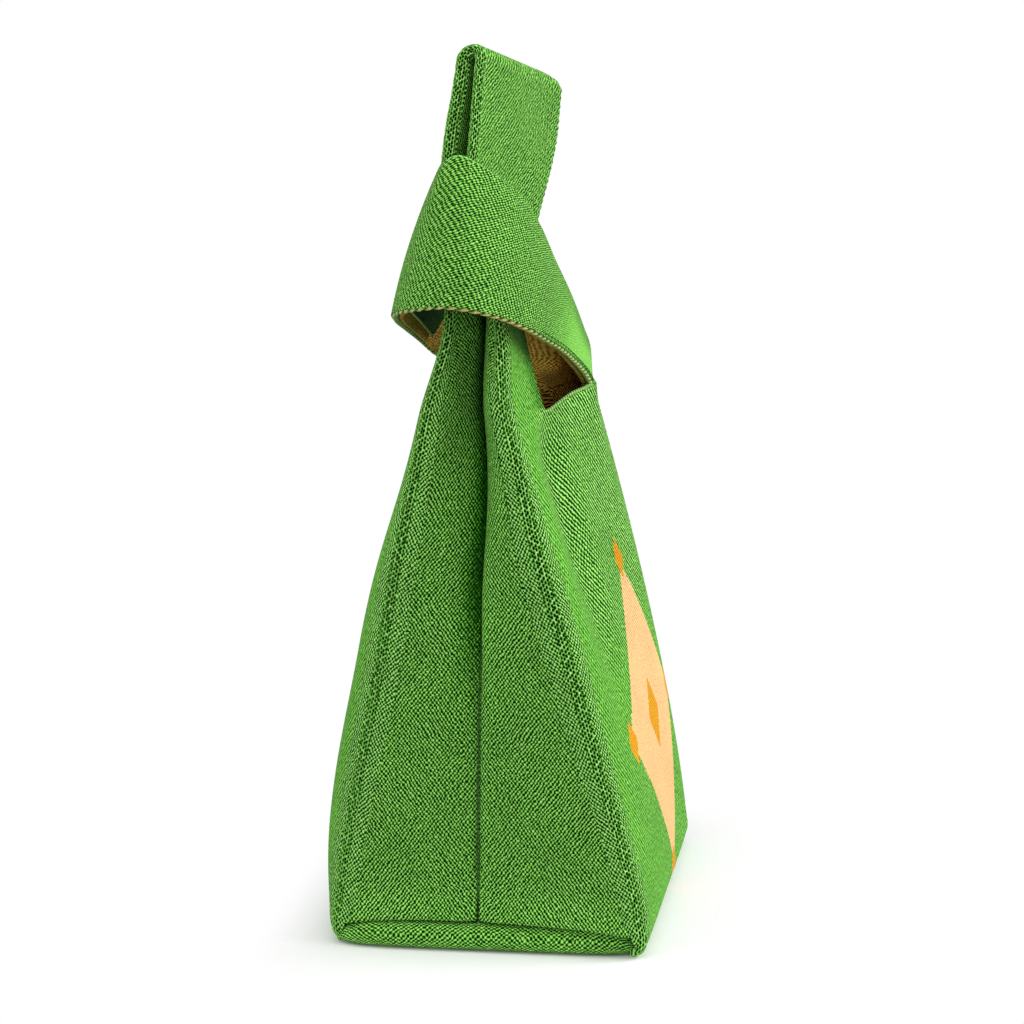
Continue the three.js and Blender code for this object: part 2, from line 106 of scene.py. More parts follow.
def soft_box(name, place, width, watts):
    """A square area lamp at place that faces the middle of the bag."""
    lamp = bpy.data.lights.new(name, "AREA")
    lamp.shape = "RECTANGLE"
    lamp.size = lamp.size_y = width
    lamp.energy = watts
    holder = bpy.data.objects.new(name, lamp)
    holder.location = place
    direction = Vector(BAG_MIDDLE) - holder.location
    holder.rotation_euler = direction.to_track_quat("-Z", "Y").to_euler()
    scene.collection.objects.link(holder)


BAG_MIDDLE = (0.0, 0.0, 0.14)
FILL_STRENGTH = 0.22
soft_box("front_box", (0.2, -1.35, 0.8), width=1.4, watts=29)
soft_box("back_box", (-0.75, 1.15, 0.65), width=1.4, watts=14)
soft_box("top_box", (-0.3, -0.05, 1.4), width=1.6, watts=12)
soft_box("near_box", (-1.3, -0.45, 0.33), width=0.7, watts=4)

surround = bpy.data.worlds.new("surround")
tree = clean_tree(surround)
ray = add_node(tree, "ShaderNodeLightPath")
seen = maths(tree, "MAXIMUM", ray.outputs["Is Camera Ray"], ray.outputs["Is Glossy Ray"])
seen = maths(tree, "MAXIMUM", seen, ray.outputs["Is Transmission Ray"])
fill_light = add_node(
    tree, "ShaderNodeBackground", {"Color": (1, 1, 1, 1), "Strength": FILL_STRENGTH}
)
white = add_node(tree, "ShaderNodeBackground", {"Color": (1, 1, 1, 1), "Strength": 1.0})
either = add_node(
    tree, "ShaderNodeMixShader", {0: seen, 1: fill_light.outputs[0], 2: white.outputs[0]}
)
add_node(tree, "ShaderNodeOutputWorld", {"Surface": either.outputs[0]})
scene.world = surround

FLOOR_HALF = 0.9
FLOOR_DROP = 0.0002
FLOOR_GREY = (0.87, 0.87, 0.87, 1)
SHADOW_HALF = (0.07, 0.046, 0.0)
SHADOW_EASE = (1, 1.7, 0)
SHADOW_REACH = 0.06
corners = [(-1, -1), (1, -1), (1, 1), (-1, 1)]
floor_mesh = bpy.data.meshes.new("floor")
floor_mesh.from_pydata(
    [(x * FLOOR_HALF, y * FLOOR_HALF, -FLOOR_DROP) for x, y in corners], [], [(0, 1, 2, 3)]
)
floor = bpy.data.objects.new("floor", floor_mesh)
scene.collection.objects.link(floor)
pale = bpy.data.materials.new("pale_floor")
tree = clean_tree(pale)
place = add_node(tree, "ShaderNodeTexCoord").outputs["Object"]
beyond = vector_maths(tree, "SUBTRACT", vector_maths(tree, "ABSOLUTE", place), SHADOW_HALF)
outside = vector_maths(tree, "MAXIMUM", beyond, (0, 0, 0))
eased = vector_maths(tree, "MULTIPLY", outside, SHADOW_EASE)
reach = add_node(tree, "ShaderNodeVectorMath", {0: eased}, operation="LENGTH")
fade = add_node(
    tree,
    "ShaderNodeMapRange",
    {"Value": reach.outputs["Value"], "From Min": 0.0, "From Max": SHADOW_REACH},
    interpolation_type="SMOOTHSTEP",
)
matt = add_node(tree, "ShaderNodeBsdfDiffuse", {"Color": FLOOR_GREY})
clear = add_node(tree, "ShaderNodeBsdfTransparent")
both = add_node(
    tree, "ShaderNodeMixShader", {0: fade.outputs[0], 1: matt.outputs[0], 2: clear.outputs[0]}
)
add_node(tree, "ShaderNodeOutputMaterial", {"Surface": both.outputs[0]})
floor_mesh.materials.append(pale)


# Front and back panels: double knit, green outside, joined to the gussets along the corner ridges.
# The front carries an inlaid lozenge in peach and orange yarn, counted out in whole stitches.
FRONT, BACK, LEFT, RIGHT = -1, 1, -1, 1
SIDE_NAMES = {FRONT: "front", BACK: "back"}
END_NAMES = {LEFT: "left", RIGHT: "right"}
MM = 0.001
BAG_WIDTH = 130.0
BAG_DEPTH = 100.0
NECK_HEIGHT = 174.0
NECK_WIDTH = 116.0
NECK_DEPTH = 28.0
KNIT = 2.4
WALE = 1.3
COURSE = 1.7
SHARP_ANGLE = math.radians(55)
BODY_MIDDLE = np.array([0.0, 4.0, 90.0])
FRONT_BELLY = 4.6
BACK_BELLY = 13.4
NECK_EASE = {FRONT: 0.3, BACK: 0.66}
LEFT_SHIFT = 8.5
CORNER_OUT = {FRONT: 0.8, BACK: 2.6}
EDGE_CLEARANCE = 6.5
FOOT_CLEARANCE = 0.15
FOOT_HEIGHT = 8.0
FOOT_TURN = 4.8
RIDGE_TURN = 0.8
RIDGE_OUT = 1.6
MOUTH_BOW = 5.5
BOW_RISE = (-0.5, 0.45)
BOW_FALL = (0.46, 0.85)
BACK_FULL = 1.0
FULL_LEVEL = 0.72
FULL_SPREAD = 0.14
DIP = 3.4
DIP_RISE = (20, 75)
DIP_FALL = (125, 178)
DIP_LOSS = 0.65
DIP_FOOT = 1.2
DIP_FOOT_TOP = (15, 35)


def yarn(red, green, blue):
    """A yarn's colour, given as screen values out of 255, in the linear light that shaders take."""
    screen = np.array([red, green, blue]) / 255
    linear = np.where(screen <= 0.04045, screen / 12.92, ((screen + 0.055) / 1.055) ** 2.4)
    return (*linear.tolist(), 1.0)


def smooth(low, high, value):
    """The cubic that goes from 0 at low to 1 at high, flat at both ends."""
    share = np.clip((value - low) / (high - low), 0, 1)
    return share * share * (3 - 2 * share)


def bell(value, middle, spread):
    """The bell curve about middle: e to the power of minus the squared distance in spreads."""
    return np.exp(-(((value - middle) / spread) ** 2))


def points(x, y, z):
    """Three arrays that broadcast together, as an array of points."""
    return np.stack(np.broadcast_arrays(x, y, z), axis=-1).astype(float)


def unit(vectors):
    """Vectors scaled to length one."""
    return vectors / np.maximum(np.linalg.norm(vectors, axis=-1, keepdims=True), 1e-9)


def level(z):
    """Height as a share of the neckline's."""
    return np.asarray(z, float) / NECK_HEIGHT


def foot(z):
    """How far the cloth turns in under the base: a quarter of an ellipse over the foot's height."""
    below = 1 - np.clip((np.asarray(z, float) - KNIT / 2) / FOOT_HEIGHT, 0, 1)
    return FOOT_TURN * (1 - np.sqrt(1 - below**2))


def ridge_x(z):
    """Half width between the corner ridges: it draws in with the square of the height."""
    half = BAG_WIDTH / 2 + RIDGE_OUT
    return half - (BAG_WIDTH - NECK_WIDTH) / 2 * level(z) ** 2 - RIDGE_TURN * foot(z)


def belly(side, z):
    """How far a panel bows out in its middle: quickly full above the base, and less at the neck."""
    below = 1 - np.minimum(1, level(z))
    if side == FRONT:
        return FRONT_BELLY * (1 - below**4) * (1 - NECK_EASE[FRONT] * level(z) ** 3)
    return BACK_BELLY * (1 - below**9) * (1 - NECK_EASE[BACK] * smooth(0.55, 1.05, level(z)))


def mouth_bow(side, across, z):
    """How far the front bows out at the mouth, most beside the root of the short handle."""
    if side == BACK:
        return 0.0
    between = smooth(*BOW_RISE, across) * (1 - smooth(*BOW_FALL, across))
    return MOUTH_BOW * between * level(z) ** 8


def corner_dip(z):
    """How far the front left corner is drawn in: most at half height, and let out at the foot."""
    drawn = DIP * smooth(*DIP_RISE, z) * (1 - DIP_LOSS * smooth(*DIP_FALL, z))
    return drawn - DIP_FOOT * (1 - smooth(*DIP_FOOT_TOP, z))


def panel(side, across, z):
    """A panel's middle surface: its bow falls off with the fourth power of across, -1 to 1."""
    depth = BAG_DEPTH / 2 + CORNER_OUT[side] * (1 - level(z)) - foot(z)
    depth = depth - (BAG_DEPTH - NECK_DEPTH) / 2 * level(z) ** 1.25
    shift = LEFT_SHIFT * np.tanh(level(z) ** 3) / math.tanh(1) * (1 - across) / 2
    if side == FRONT:
        shift = shift + corner_dip(z) * ((1 - across) / 2) ** 2
    else:
        shift = shift + BACK_FULL * bell(level(z), FULL_LEVEL, FULL_SPREAD)
    bow = belly(side, z) * (1 - across**4) + mouth_bow(side, across, z)
    return points(across * ridge_x(z), shift + side * (depth + bow), z)


def clearance(z):
    """How far the panels and gussets stop short of a corner ridge: less at the foot."""
    return EDGE_CLEARANCE * (FOOT_CLEARANCE + (1 - FOOT_CLEARANCE) * smooth(0, 14, z))


def grid_normals(surface):
    """Unit normals of a grid of points, from its differences along columns and along rows."""
    return unit(np.cross(np.gradient(surface, axis=1), np.gradient(surface, axis=0)))


def run_length(surface, axis):
    """Distance walked over a grid of points along one axis, from its first row or column."""
    steps = np.linalg.norm(np.diff(surface, axis=axis), axis=-1)
    start = np.zeros_like(np.take(steps, [0], axis=axis))
    return np.concatenate([start, np.cumsum(steps, axis=axis)], axis=axis)


def walked_map(surface):
    """The stitch map of a grid of points: the distances walked across it and up it."""
    return np.stack([run_length(surface, 1), run_length(surface, 0)], axis=-1)


def flat_tone(tone, share):
    """A net without holes: its flat tone, painted highlight where lighter than the knit and painted
    shade where darker, and the share by which it replaces the fine holes.
    """
    return np.stack(np.broadcast_arrays(tone, share), axis=-1)


def make_piece(name, vertices, faces, stitches, shares, material):
    """One mesh object in the row frame from points in mm, with its stitch map and point shares."""
    mesh = bpy.data.meshes.new(name)
    mesh.from_pydata((vertices * MM).tolist(), [], faces)
    corner = np.zeros(len(mesh.loops), np.int32)
    mesh.loops.foreach_get("vertex_index", corner)
    mesh.uv_layers.new(name="stitches").data.foreach_set("uv", stitches[corner].ravel())
    for share, values in shares.items():
        layer = mesh.attributes.new(share, "FLOAT", "POINT")
        layer.data.foreach_set("value", values.astype(np.float32).ravel())
    mesh.materials.append(material)
    mesh.shade_smooth()
    mesh.set_sharp_from_angle(angle=SHARP_ANGLE)
    piece = bpy.data.objects.new(name, mesh)
    scene.collection.objects.link(piece)
    return piece


def grid_faces(rows, columns):
    """Quads of a closed sheet: an outer skin, an inner skin turned over, and the four rims."""
    count = rows * columns
    index = np.arange(count).reshape(rows, columns)

    def quads(a, b, c, d):
        """Faces from four arrays of corners."""
        return np.stack([a.ravel(), b.ravel(), c.ravel(), d.ravel()], axis=1)

    skin = quads(index[:-1, :-1], index[:-1, 1:], index[1:, 1:], index[1:, :-1])
    low, high, near, far = index[0], index[-1], index[:, 0], index[:, -1]
    return np.concatenate(
        [
            skin,
            skin[:, ::-1] + count,
            quads(low[:-1], low[:-1] + count, low[1:] + count, low[1:]),
            quads(high[:-1], high[1:], high[1:] + count, high[:-1] + count),
            quads(near[:-1], near[1:], near[1:] + count, near[:-1] + count),
            quads(far[:-1], far[:-1] + count, far[1:] + count, far[1:]),
        ]
    )


def cloth(name, surface, wall, inside, material, stitches=None, swell=0.0, net=None, relief=0.0):
    """A closed cloth about its middle surface, a grid of points: half the wall either side along
    the normals, its outer skin away from the point inside. Swell moves both skins, relief the outer
    one. The stitch map is the distance walked. A net gives each point its place in a hole, and the
    share by which those holes replace the fine ones."""
    if stitches is None:
        stitches = walked_map(surface)
        stitches[..., 0] -= stitches[:, -1:, 0] / 2
    grid = surface.shape[:2]
    net = np.zeros((*grid, 2)) if net is None else net
    wall, swell, relief = (np.broadcast_to(part, grid) for part in (wall, swell, relief))
    normals = grid_normals(surface)
    if np.mean(np.sum(normals * (surface - inside), axis=-1)) < 0:
        flipped = [part[:, ::-1] for part in (surface, normals, stitches, net, wall, swell, relief)]
        surface, normals, stitches, net, wall, swell, relief = flipped
        normals = -normals
    outer = surface + normals * (wall / 2 + swell + relief)[..., None]
    inner = surface + normals * (swell - wall / 2)[..., None]
    vertices = np.concatenate([outer.reshape(-1, 3), inner.reshape(-1, 3)])
    doubled = np.concatenate([stitches.reshape(-1, 2)] * 2)
    shares = {"net": np.tile(net[..., 0].ravel(), 2), "netted": np.tile(net[..., 1].ravel(), 2)}
    return make_piece(name, vertices, grid_faces(*grid).tolist(), doubled, shares, material)


def mixed_value(tree, share, first, second):
    """Two numbers or sockets mixed by a share."""
    inputs = {0: share, 2: first, 3: second}
    return add_node(tree, "ShaderNodeMix", inputs, data_type="FLOAT").outputs[0]


def lattice(tree, stitch_map, wale, course, lean):
    """Staggered dark holes between the yarns: the mix of two waves that cross on the diagonals.
    The value is 1 in a hole and -1 on a crown, and lean favours one diagonal over the other."""
    parts = add_node(tree, "ShaderNodeSeparateXYZ", {0: stitch_map})
    across = maths(tree, "MULTIPLY", parts.outputs[0], math.tau / wale)
    along = maths(tree, "MULTIPLY", parts.outputs[1], math.tau / course)
    rising = maths(tree, "COSINE", maths(tree, "ADD", across, along))
    falling = maths(tree, "COSINE", maths(tree, "SUBTRACT", across, along))
    return mixed_value(tree, lean, rising, falling)


def noise(tree, vector, scale, detail):
    """Noise about 0.5 on a stitch map, with scale in waves per millimetre."""
    made = add_node(
        tree, "ShaderNodeTexNoise", {"Vector": vector, "Scale": scale, "Detail": detail}
    )
    return made.outputs["Fac"]


def ramp(tree, value, stops):
    """A colour ramp with (place, colour) stops."""
    made = add_node(tree, "ShaderNodeValToRGB", {0: value})
    slots = made.color_ramp.elements
    slots[0].position, slots[0].color = stops[0]
    slots[1].position, slots[1].color = stops[-1]
    for place_on_ramp, colour in stops[1:-1]:
        slots.new(place_on_ramp).color = colour
    return made.outputs[0]


def mixed_colour(tree, share, first, second, blend="MIX"):
    """Two colours or colour sockets mixed by a share."""
    made = add_node(
        tree,
        "ShaderNodeMix",
        {0: share, 6: first, 7: second},
        data_type="RGBA",
        blend_type=blend,
    )
    return made.outputs[2]


def wander(tree, vector, scale, reach):
    """A stitch map pushed about by noise, up to about reach millimetres each way."""
    drift = add_node(
        tree, "ShaderNodeTexNoise", {"Vector": vector, "Scale": scale, "Detail": 1.0}
    ).outputs["Color"]
    centred = vector_maths(tree, "SUBTRACT", drift, (0.5, 0.5, 0.5))
    return vector_maths(tree, "MULTIPLY_ADD", centred, (2 * reach, 2 * reach, 0), vector)


def attribute(tree, name):
    """A share that a piece gives to each of its points, as a socket."""
    return add_node(tree, "ShaderNodeAttribute", attribute_name=name).outputs["Fac"]


def yarn_surface(tree, colour, height, bump, finish):
    """A matt yarn: its colour, the bump that height raises, and the finish's own inputs."""
    raised = add_node(tree, "ShaderNodeBump", {"Height": height, **bump}).outputs[0]
    shader = add_node(
        tree, "ShaderNodeBsdfPrincipled", {"Base Color": colour, "Normal": raised, **finish}
    )
    add_node(tree, "ShaderNodeOutputMaterial", {"Surface": shader.outputs[0]})


FIBRE = 0.9
CLOUD = 0.36
CLOUD_LEAST = 0.82
# Ramp from crown to hole: the light crowns are painted highlight, and the dark flanks and holes are
# painted shade, over the bump's own shading.
CROWN_STOP, BODY_STOP, SHADE_STOP, HOLE_STOP = 0.16, 0.46, 0.62, 0.76
KNIT_BUMP = {"Strength": 0.7, "Distance": 0.0004}
KNIT_FINISH = {"Roughness": 0.9, "Specular IOR Level": 0.1, "Sheen Weight": 0.02}


def knit_material(name, hole, shade, body, crown, size=1.0, lean=(0.34, 0.66), inlay=None):
    """Knit seen close: holes, yarn flanks and crowns coloured and raised by the lattice or by the
    piece's own net, with painted shade in the holes and on the flanks and painted highlight on the
    crowns, uneven yarn, and cloudy changes of tone at random over centimetres."""
    material = bpy.data.materials.new(name)
    tree = clean_tree(material)
    flat = add_node(tree, "ShaderNodeUVMap", uv_map="stitches").outputs[0]
    moved = wander(tree, wander(tree, flat, scale=0.16, reach=0.6), scale=0.8, reach=0.5)
    leaning = add_node(
        tree,
        "ShaderNodeMapRange",
        {
            "Value": noise(tree, flat, scale=0.03, detail=1.0),
            "From Min": 0.35,
            "From Max": 0.65,
            "To Min": lean[0],
            "To Max": lean[1],
        },
    ).outputs[0]
    fine = lattice(tree, moved, size * WALE, size * COURSE, leaning)
    net, netted = attribute(tree, "net"), attribute(tree, "netted")
    pattern = mixed_value(tree, netted, fine, net)
    fibre = maths(tree, "SUBTRACT", noise(tree, flat, scale=0.75, detail=3.0), 0.5)
    depth = maths(tree, "MULTIPLY_ADD", fibre, FIBRE, pattern)
    share = maths(tree, "MULTIPLY_ADD", depth, 0.5, 0.5)
    stops = [(CROWN_STOP, crown), (BODY_STOP, body), (SHADE_STOP, shade), (HOLE_STOP, hole)]
    colour = ramp(tree, share, stops)
    if inlay is not None:
        colour = inlay(tree, share, colour)
    cloud = noise(tree, flat, scale=0.045, detail=3.0)
    cloudy = maths(tree, "MULTIPLY_ADD", cloud, CLOUD, CLOUD_LEAST)
    colour = mixed_colour(tree, 1.0, colour, cloudy, "MULTIPLY")
    yarn_surface(tree, colour, maths(tree, "MULTIPLY", depth, -1.0), KNIT_BUMP, KNIT_FINISH)
    return material


INLAY_MIDDLE = (10.0, 62.0)
LOZENGE = (42.0, 54.0)
TIP = (6.0, 7.5)
INNER_LOZENGE = 0.24
# The inlay's ramps run from light on the crowns to dark in the holes: painted highlight and painted
# shade.
PEACH = [(0.3, yarn(244, 202, 142)), (0.95, yarn(186, 132, 72))]
ORANGE = [(0.3, yarn(226, 160, 20)), (0.95, yarn(160, 96, 6))]


def lozenge_inlay(tree, share, ground):
    """A peach lozenge with small orange lozenges in its middle and on its tips: each is where two
    distances, as shares of its half sizes, add up to less than one, in whole stitches."""
    place = add_node(tree, "ShaderNodeTexCoord").outputs["Object"]
    snapped = vector_maths(tree, "SNAP", place, (WALE * MM, 1.0, COURSE * MM))
    in_mm = vector_maths(tree, "MULTIPLY", snapped, (1 / MM, 1 / MM, 1 / MM))
    parts = add_node(tree, "ShaderNodeSeparateXYZ", {0: in_mm})

    def apart(value, middle):
        """The distance between a value and a middle."""
        return maths(tree, "ABSOLUTE", maths(tree, "SUBTRACT", value, middle))

    across = apart(parts.outputs[0], INLAY_MIDDLE[0])
    along = apart(parts.outputs[2], INLAY_MIDDLE[1])

    def lozenge(middle, half, size=1.0):
        """1 where the distances from middle, as shares of half, add up to less than size."""
        sideways = maths(tree, "DIVIDE", apart(across, middle[0]), half[0])
        upwards = maths(tree, "DIVIDE", apart(along, middle[1]), half[1])
        return maths(tree, "LESS_THAN", maths(tree, "ADD", sideways, upwards), size)

    in_peach = lozenge((0, 0), LOZENGE)
    tips = maths(
        tree, "MAXIMUM", lozenge((LOZENGE[0], 0), TIP), lozenge((0, LOZENGE[1]), TIP)
    )
    in_orange = maths(tree, "MAXIMUM", tips, lozenge((0, 0), LOZENGE, INNER_LOZENGE))
    inlaid = mixed_colour(tree, in_peach, ground, ramp(tree, share, PEACH))
    return mixed_colour(tree, in_orange, inlaid, ramp(tree, share, ORANGE))


# The green yarn: hole and shade are painted shade, crown is painted highlight, body is its own
# green.
GREEN = {
    "hole": yarn(0, 22, 0),
    "shade": yarn(14, 80, 0),
    "body": yarn(86, 160, 40),
    "crown": yarn(162, 234, 112),
}
PANEL_STITCH = {"size": 1.45, "lean": (0.2, 0.42)}
green_knit = knit_material("green_knit", **GREEN)
inlaid_knit = knit_material("inlaid_knit", **GREEN, **PANEL_STITCH, inlay=lozenge_inlay)
panel_knit = knit_material("panel_knit", **GREEN, **PANEL_STITCH)
DRAPE_DEPTH = {FRONT: 4.5, BACK: 1.6}
DRAPE_FROM_EDGE = 24.0
DRAPE_WIDTH = 11.0


def drape(side, across, z):
    """A soft hollow beside the left ridge, under the corner of the mouth: a bell in the distance
    from the ridge's strip that deepens with height and runs out at the mouth."""
    from_edge = ridge_x(z) * (1 - np.abs(across)) - clearance(z)
    hollow = bell(from_edge, DRAPE_FROM_EDGE, DRAPE_WIDTH)
    deep = smooth(0.3, 0.8, level(z)) * (1 - smooth(0.9, 1, level(z)))
    return -DRAPE_DEPTH[side] * hollow * deep * (across < 0)


LONG_HANDLE_ROOT = -0.43
SAG = {FRONT: 2.4, BACK: 0.8}


def neckline(side, across):
    """Height of a panel's top: level, but for the sag beside the root of the long handle."""
    beside = smooth(LONG_HANDLE_ROOT, LONG_HANDLE_ROOT + 0.03, across)
    return NECK_HEIGHT - SAG[side] * beside * (1 - smooth(LONG_HANDLE_ROOT + 0.05, 0.15, across))


HEM_BOTTOM = KNIT / 2 + 0.02
PANEL_ROWS = 150
PANEL_COLUMNS = 130
ROWS_LOW = 1.3
WALES_EASE = 0.0032
EASE_FROM = -25.0
# A flat tone a little lighter than the knit's mean, in place of its holes: painted highlight.
PAINTED_TONE_SHARE = 0.6
PAINTED_HIGHLIGHT_TONE = -0.14
for side in (FRONT, BACK):
    across = np.linspace(-1, 1, PANEL_COLUMNS)[None, :]
    top = neckline(side, across * (1 - EDGE_CLEARANCE / ridge_x(NECK_HEIGHT)))
    z = HEM_BOTTOM + (top - HEM_BOTTOM) * np.linspace(0, 1, PANEL_ROWS)[:, None] ** ROWS_LOW
    across = across * (1 - clearance(z) / ridge_x(z))
    surface = panel(side, across, z)
    from_edge = ridge_x(z) * (1 + across) - clearance(z)
    eased = WALES_EASE * np.maximum(surface[..., 0] - EASE_FROM, 0) ** 2
    beside_ridge = (1 - smooth(0.5, 1, from_edge / DRAPE_FROM_EDGE)) * smooth(0.15, 0.5, level(z))
    # Where the painted highlight lies: beside the left ridge, and over the lower part of each panel.
    painted_share = PAINTED_TONE_SHARE * np.maximum(beside_ridge, 1 - smooth(0.4, 0.75, level(z)))
    piece = cloth(
        f"{SIDE_NAMES[side]}_panel_cloth",
        surface,
        KNIT,
        BODY_MIDDLE,
        inlaid_knit if side == FRONT else panel_knit,
        stitches=np.stack([surface[..., 0] - eased, run_length(surface, 0)], axis=-1),
        swell=drape(side, across, z),
        net=flat_tone(PAINTED_HIGHLIGHT_TONE, painted_share),
    )
    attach(piece, "bag")
    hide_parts(f"{SIDE_NAMES[side]}_panel")


# Gussets: green knit in two halves that fold inwards to a linked seam. The left pair runs on upwards
# as the folded-in cloth of the long handle, so its top follows the handle's neck.
FOLD_DEPTH = 25.0
FOLD_AT_BASE = 1.5
ROLLED = {FRONT: 1.0, BACK: 0.35}
VALLEY_SHIFT = 3.6
VALLEY_DRIFT = 2.0
DRIFT_LEVEL = 0.9
DRIFT_SPREAD = 0.18
SEAM_ROOM = 0.5
GAP = 0.3

HANDLE_WIDTH = 55.0
HANDLE_SLIT = 4.6
HANDLE_TURN = math.radians(16.2)
HANDLE_SLOPE = math.radians(29.4)
HANDLE_LEAN = math.radians(19.3)
HANDLE_TILT = 0.05
NECK_LENGTH = 22.0
PLY = 2 * KNIT + GAP
PLY_MIDDLE = HANDLE_SLIT / 2 + PLY / 2
PLY_SPLIT = (KNIT + GAP) / 2
FOLDED_WIDTH = 0.55
KNOT = np.array([-NECK_WIDTH / 2 + 41, 5.4, NECK_HEIGHT + 69])
WAIST = KNOT + np.array([-13.0, -0.4, -40.0])
WAIST_WIDTH = 0.75 * HANDLE_WIDTH
WAIST_TURN = math.radians(5)
WAIST_RIDGE = {FRONT: 7.4, BACK: 9.4}
WAIST_FAR = 2.6
WAIST_VALLEY = 1.25
WAIST_FOLD = 0.07
WAIST_CLEARANCE = 5.0
WAIST_AT = 0.45
NECK_CLEARANCE = 3.0
HINGE_RISE = 4.5

ALONG = np.array(
    [
        math.cos(HANDLE_SLOPE) * math.cos(HANDLE_TURN),
        -math.cos(HANDLE_SLOPE) * math.sin(HANDLE_TURN),
        -math.sin(HANDLE_SLOPE),
    ]
)
UP = unit(np.array([math.sin(HANDLE_LEAN), -HANDLE_TILT, math.cos(HANDLE_LEAN)]))
OUT = unit(np.cross(ALONG, UP))
HINGE = KNOT + HINGE_RISE * UP


def handle_point(distance, offset, height):
    """A point beside the fold line: along the handle's width, out of its front, up its length."""
    shape = np.broadcast_shapes(np.shape(distance), np.shape(offset), np.shape(height))
    steps = [np.broadcast_to(part, shape)[..., None] for part in (distance, offset, height)]
    return HINGE + steps[0] * ALONG + steps[1] * OUT + steps[2] * UP


def waist_point(distance, offset):
    """A point at the waist, where the collar pinches the long handle."""
    wide = np.array([math.cos(WAIST_TURN), -math.sin(WAIST_TURN), 0])
    deep = np.array([-math.sin(WAIST_TURN), -math.cos(WAIST_TURN), 0])
    shape = np.broadcast_shapes(np.shape(distance), np.shape(offset))
    distance = np.broadcast_to(distance, shape)[..., None]
    return WAIST + distance * wide + np.broadcast_to(offset, shape)[..., None] * deep


def strand(root, waist, neck, s):
    """Two cubics joined at the waist: out of the body along its own slope, root being its curve of
    height, and into the neck along the handle. s goes from 0 to 1."""
    foot = root(NECK_HEIGHT)
    slope = unit(foot - root(NECK_HEIGHT - 1))
    through = neck - foot
    span = np.linalg.norm(through, axis=-1, keepdims=True)

    def cubic(t, start, end, slope_start, slope_end):
        """The cubic between two points that leaves and arrives with the two slopes, t 0 to 1."""
        point = start * (2 * t**3 - 3 * t**2 + 1) + slope_start * (t**3 - 2 * t**2 + t)
        return point + end * (3 * t**2 - 2 * t**3) + slope_end * (t**3 - t**2)

    s = np.asarray(s, float)[..., None]
    low = cubic(
        np.minimum(s / WAIST_AT, 1), foot, waist, slope * span * WAIST_AT, through * WAIST_AT
    )
    rest = 1 - WAIST_AT
    high = cubic(
        np.maximum((s - WAIST_AT) / rest, 0), waist, neck, through * rest, UP * span * rest
    )
    return np.where(s < WAIST_AT, low, high)


def valley(end, z):
    """The gusset's inner fold: deeper with the cube of the height, and on the left off the middle,
    by a smooth change of shift and a bell."""
    shift = 0.0
    if end == LEFT:
        shift = VALLEY_SHIFT + (LEFT_SHIFT - VALLEY_SHIFT) * smooth(0.75, 1.25, level(z))
        shift = shift - VALLEY_DRIFT * bell(level(z), DRIFT_LEVEL, DRIFT_SPREAD)
    return points(end * (ridge_x(z) - FOLD_AT_BASE - FOLD_DEPTH * level(z) ** 3), shift, z)


def roll_over(share, rolled):
    """Shares of the way along x and y: equal on a flat cloth, and on a rolled one those of a
    quarter of an ellipse."""
    late = share + rolled * (1 - np.cos(share * np.pi / 2) - share)
    return late, share + rolled * (np.sin(share * np.pi / 2) - share)


def gusset(end, side, across, z):
    """Half a gusset from beside its ridge at 0 to beside its seam at 1: flat at the base, and on
    the left rolled over the seam higher up."""
    ridge, fold = panel(side, float(end), z), valley(end, z)
    width = np.linalg.norm(ridge - fold, axis=-1)
    share = (clearance(z) + (width - clearance(z) - SEAM_ROOM) * across) / width
    rolled = ROLLED[side] * smooth(0.2, 0.7, level(z)) if end == LEFT else 0.0
    late, early = roll_over(share, rolled)
    return ridge + (fold - ridge) * points(late, early, share)


def stem_fold(side, across, s):
    """The left gusset's cloth inside the long handle, from the near ridge at 0 to the fold at 1."""
    late, early = roll_over(across, ROLLED[side])
    waist = waist_point(
        (WAIST_CLEARANCE - WAIST_WIDTH / 2) * (1 - late) - WAIST_FOLD * WAIST_WIDTH * late,
        -side * ((WAIST_RIDGE[side] - PLY_SPLIT) * (1 - early) + WAIST_VALLEY * early),
    )
    neck = handle_point(
        NECK_CLEARANCE + HANDLE_WIDTH * (FOLDED_WIDTH * across - 0.5),
        -side * (PLY_MIDDLE - PLY_SPLIT),
        -NECK_LENGTH - GAP,
    )
    return strand(lambda height: gusset(LEFT, side, across, height), waist, neck, s)


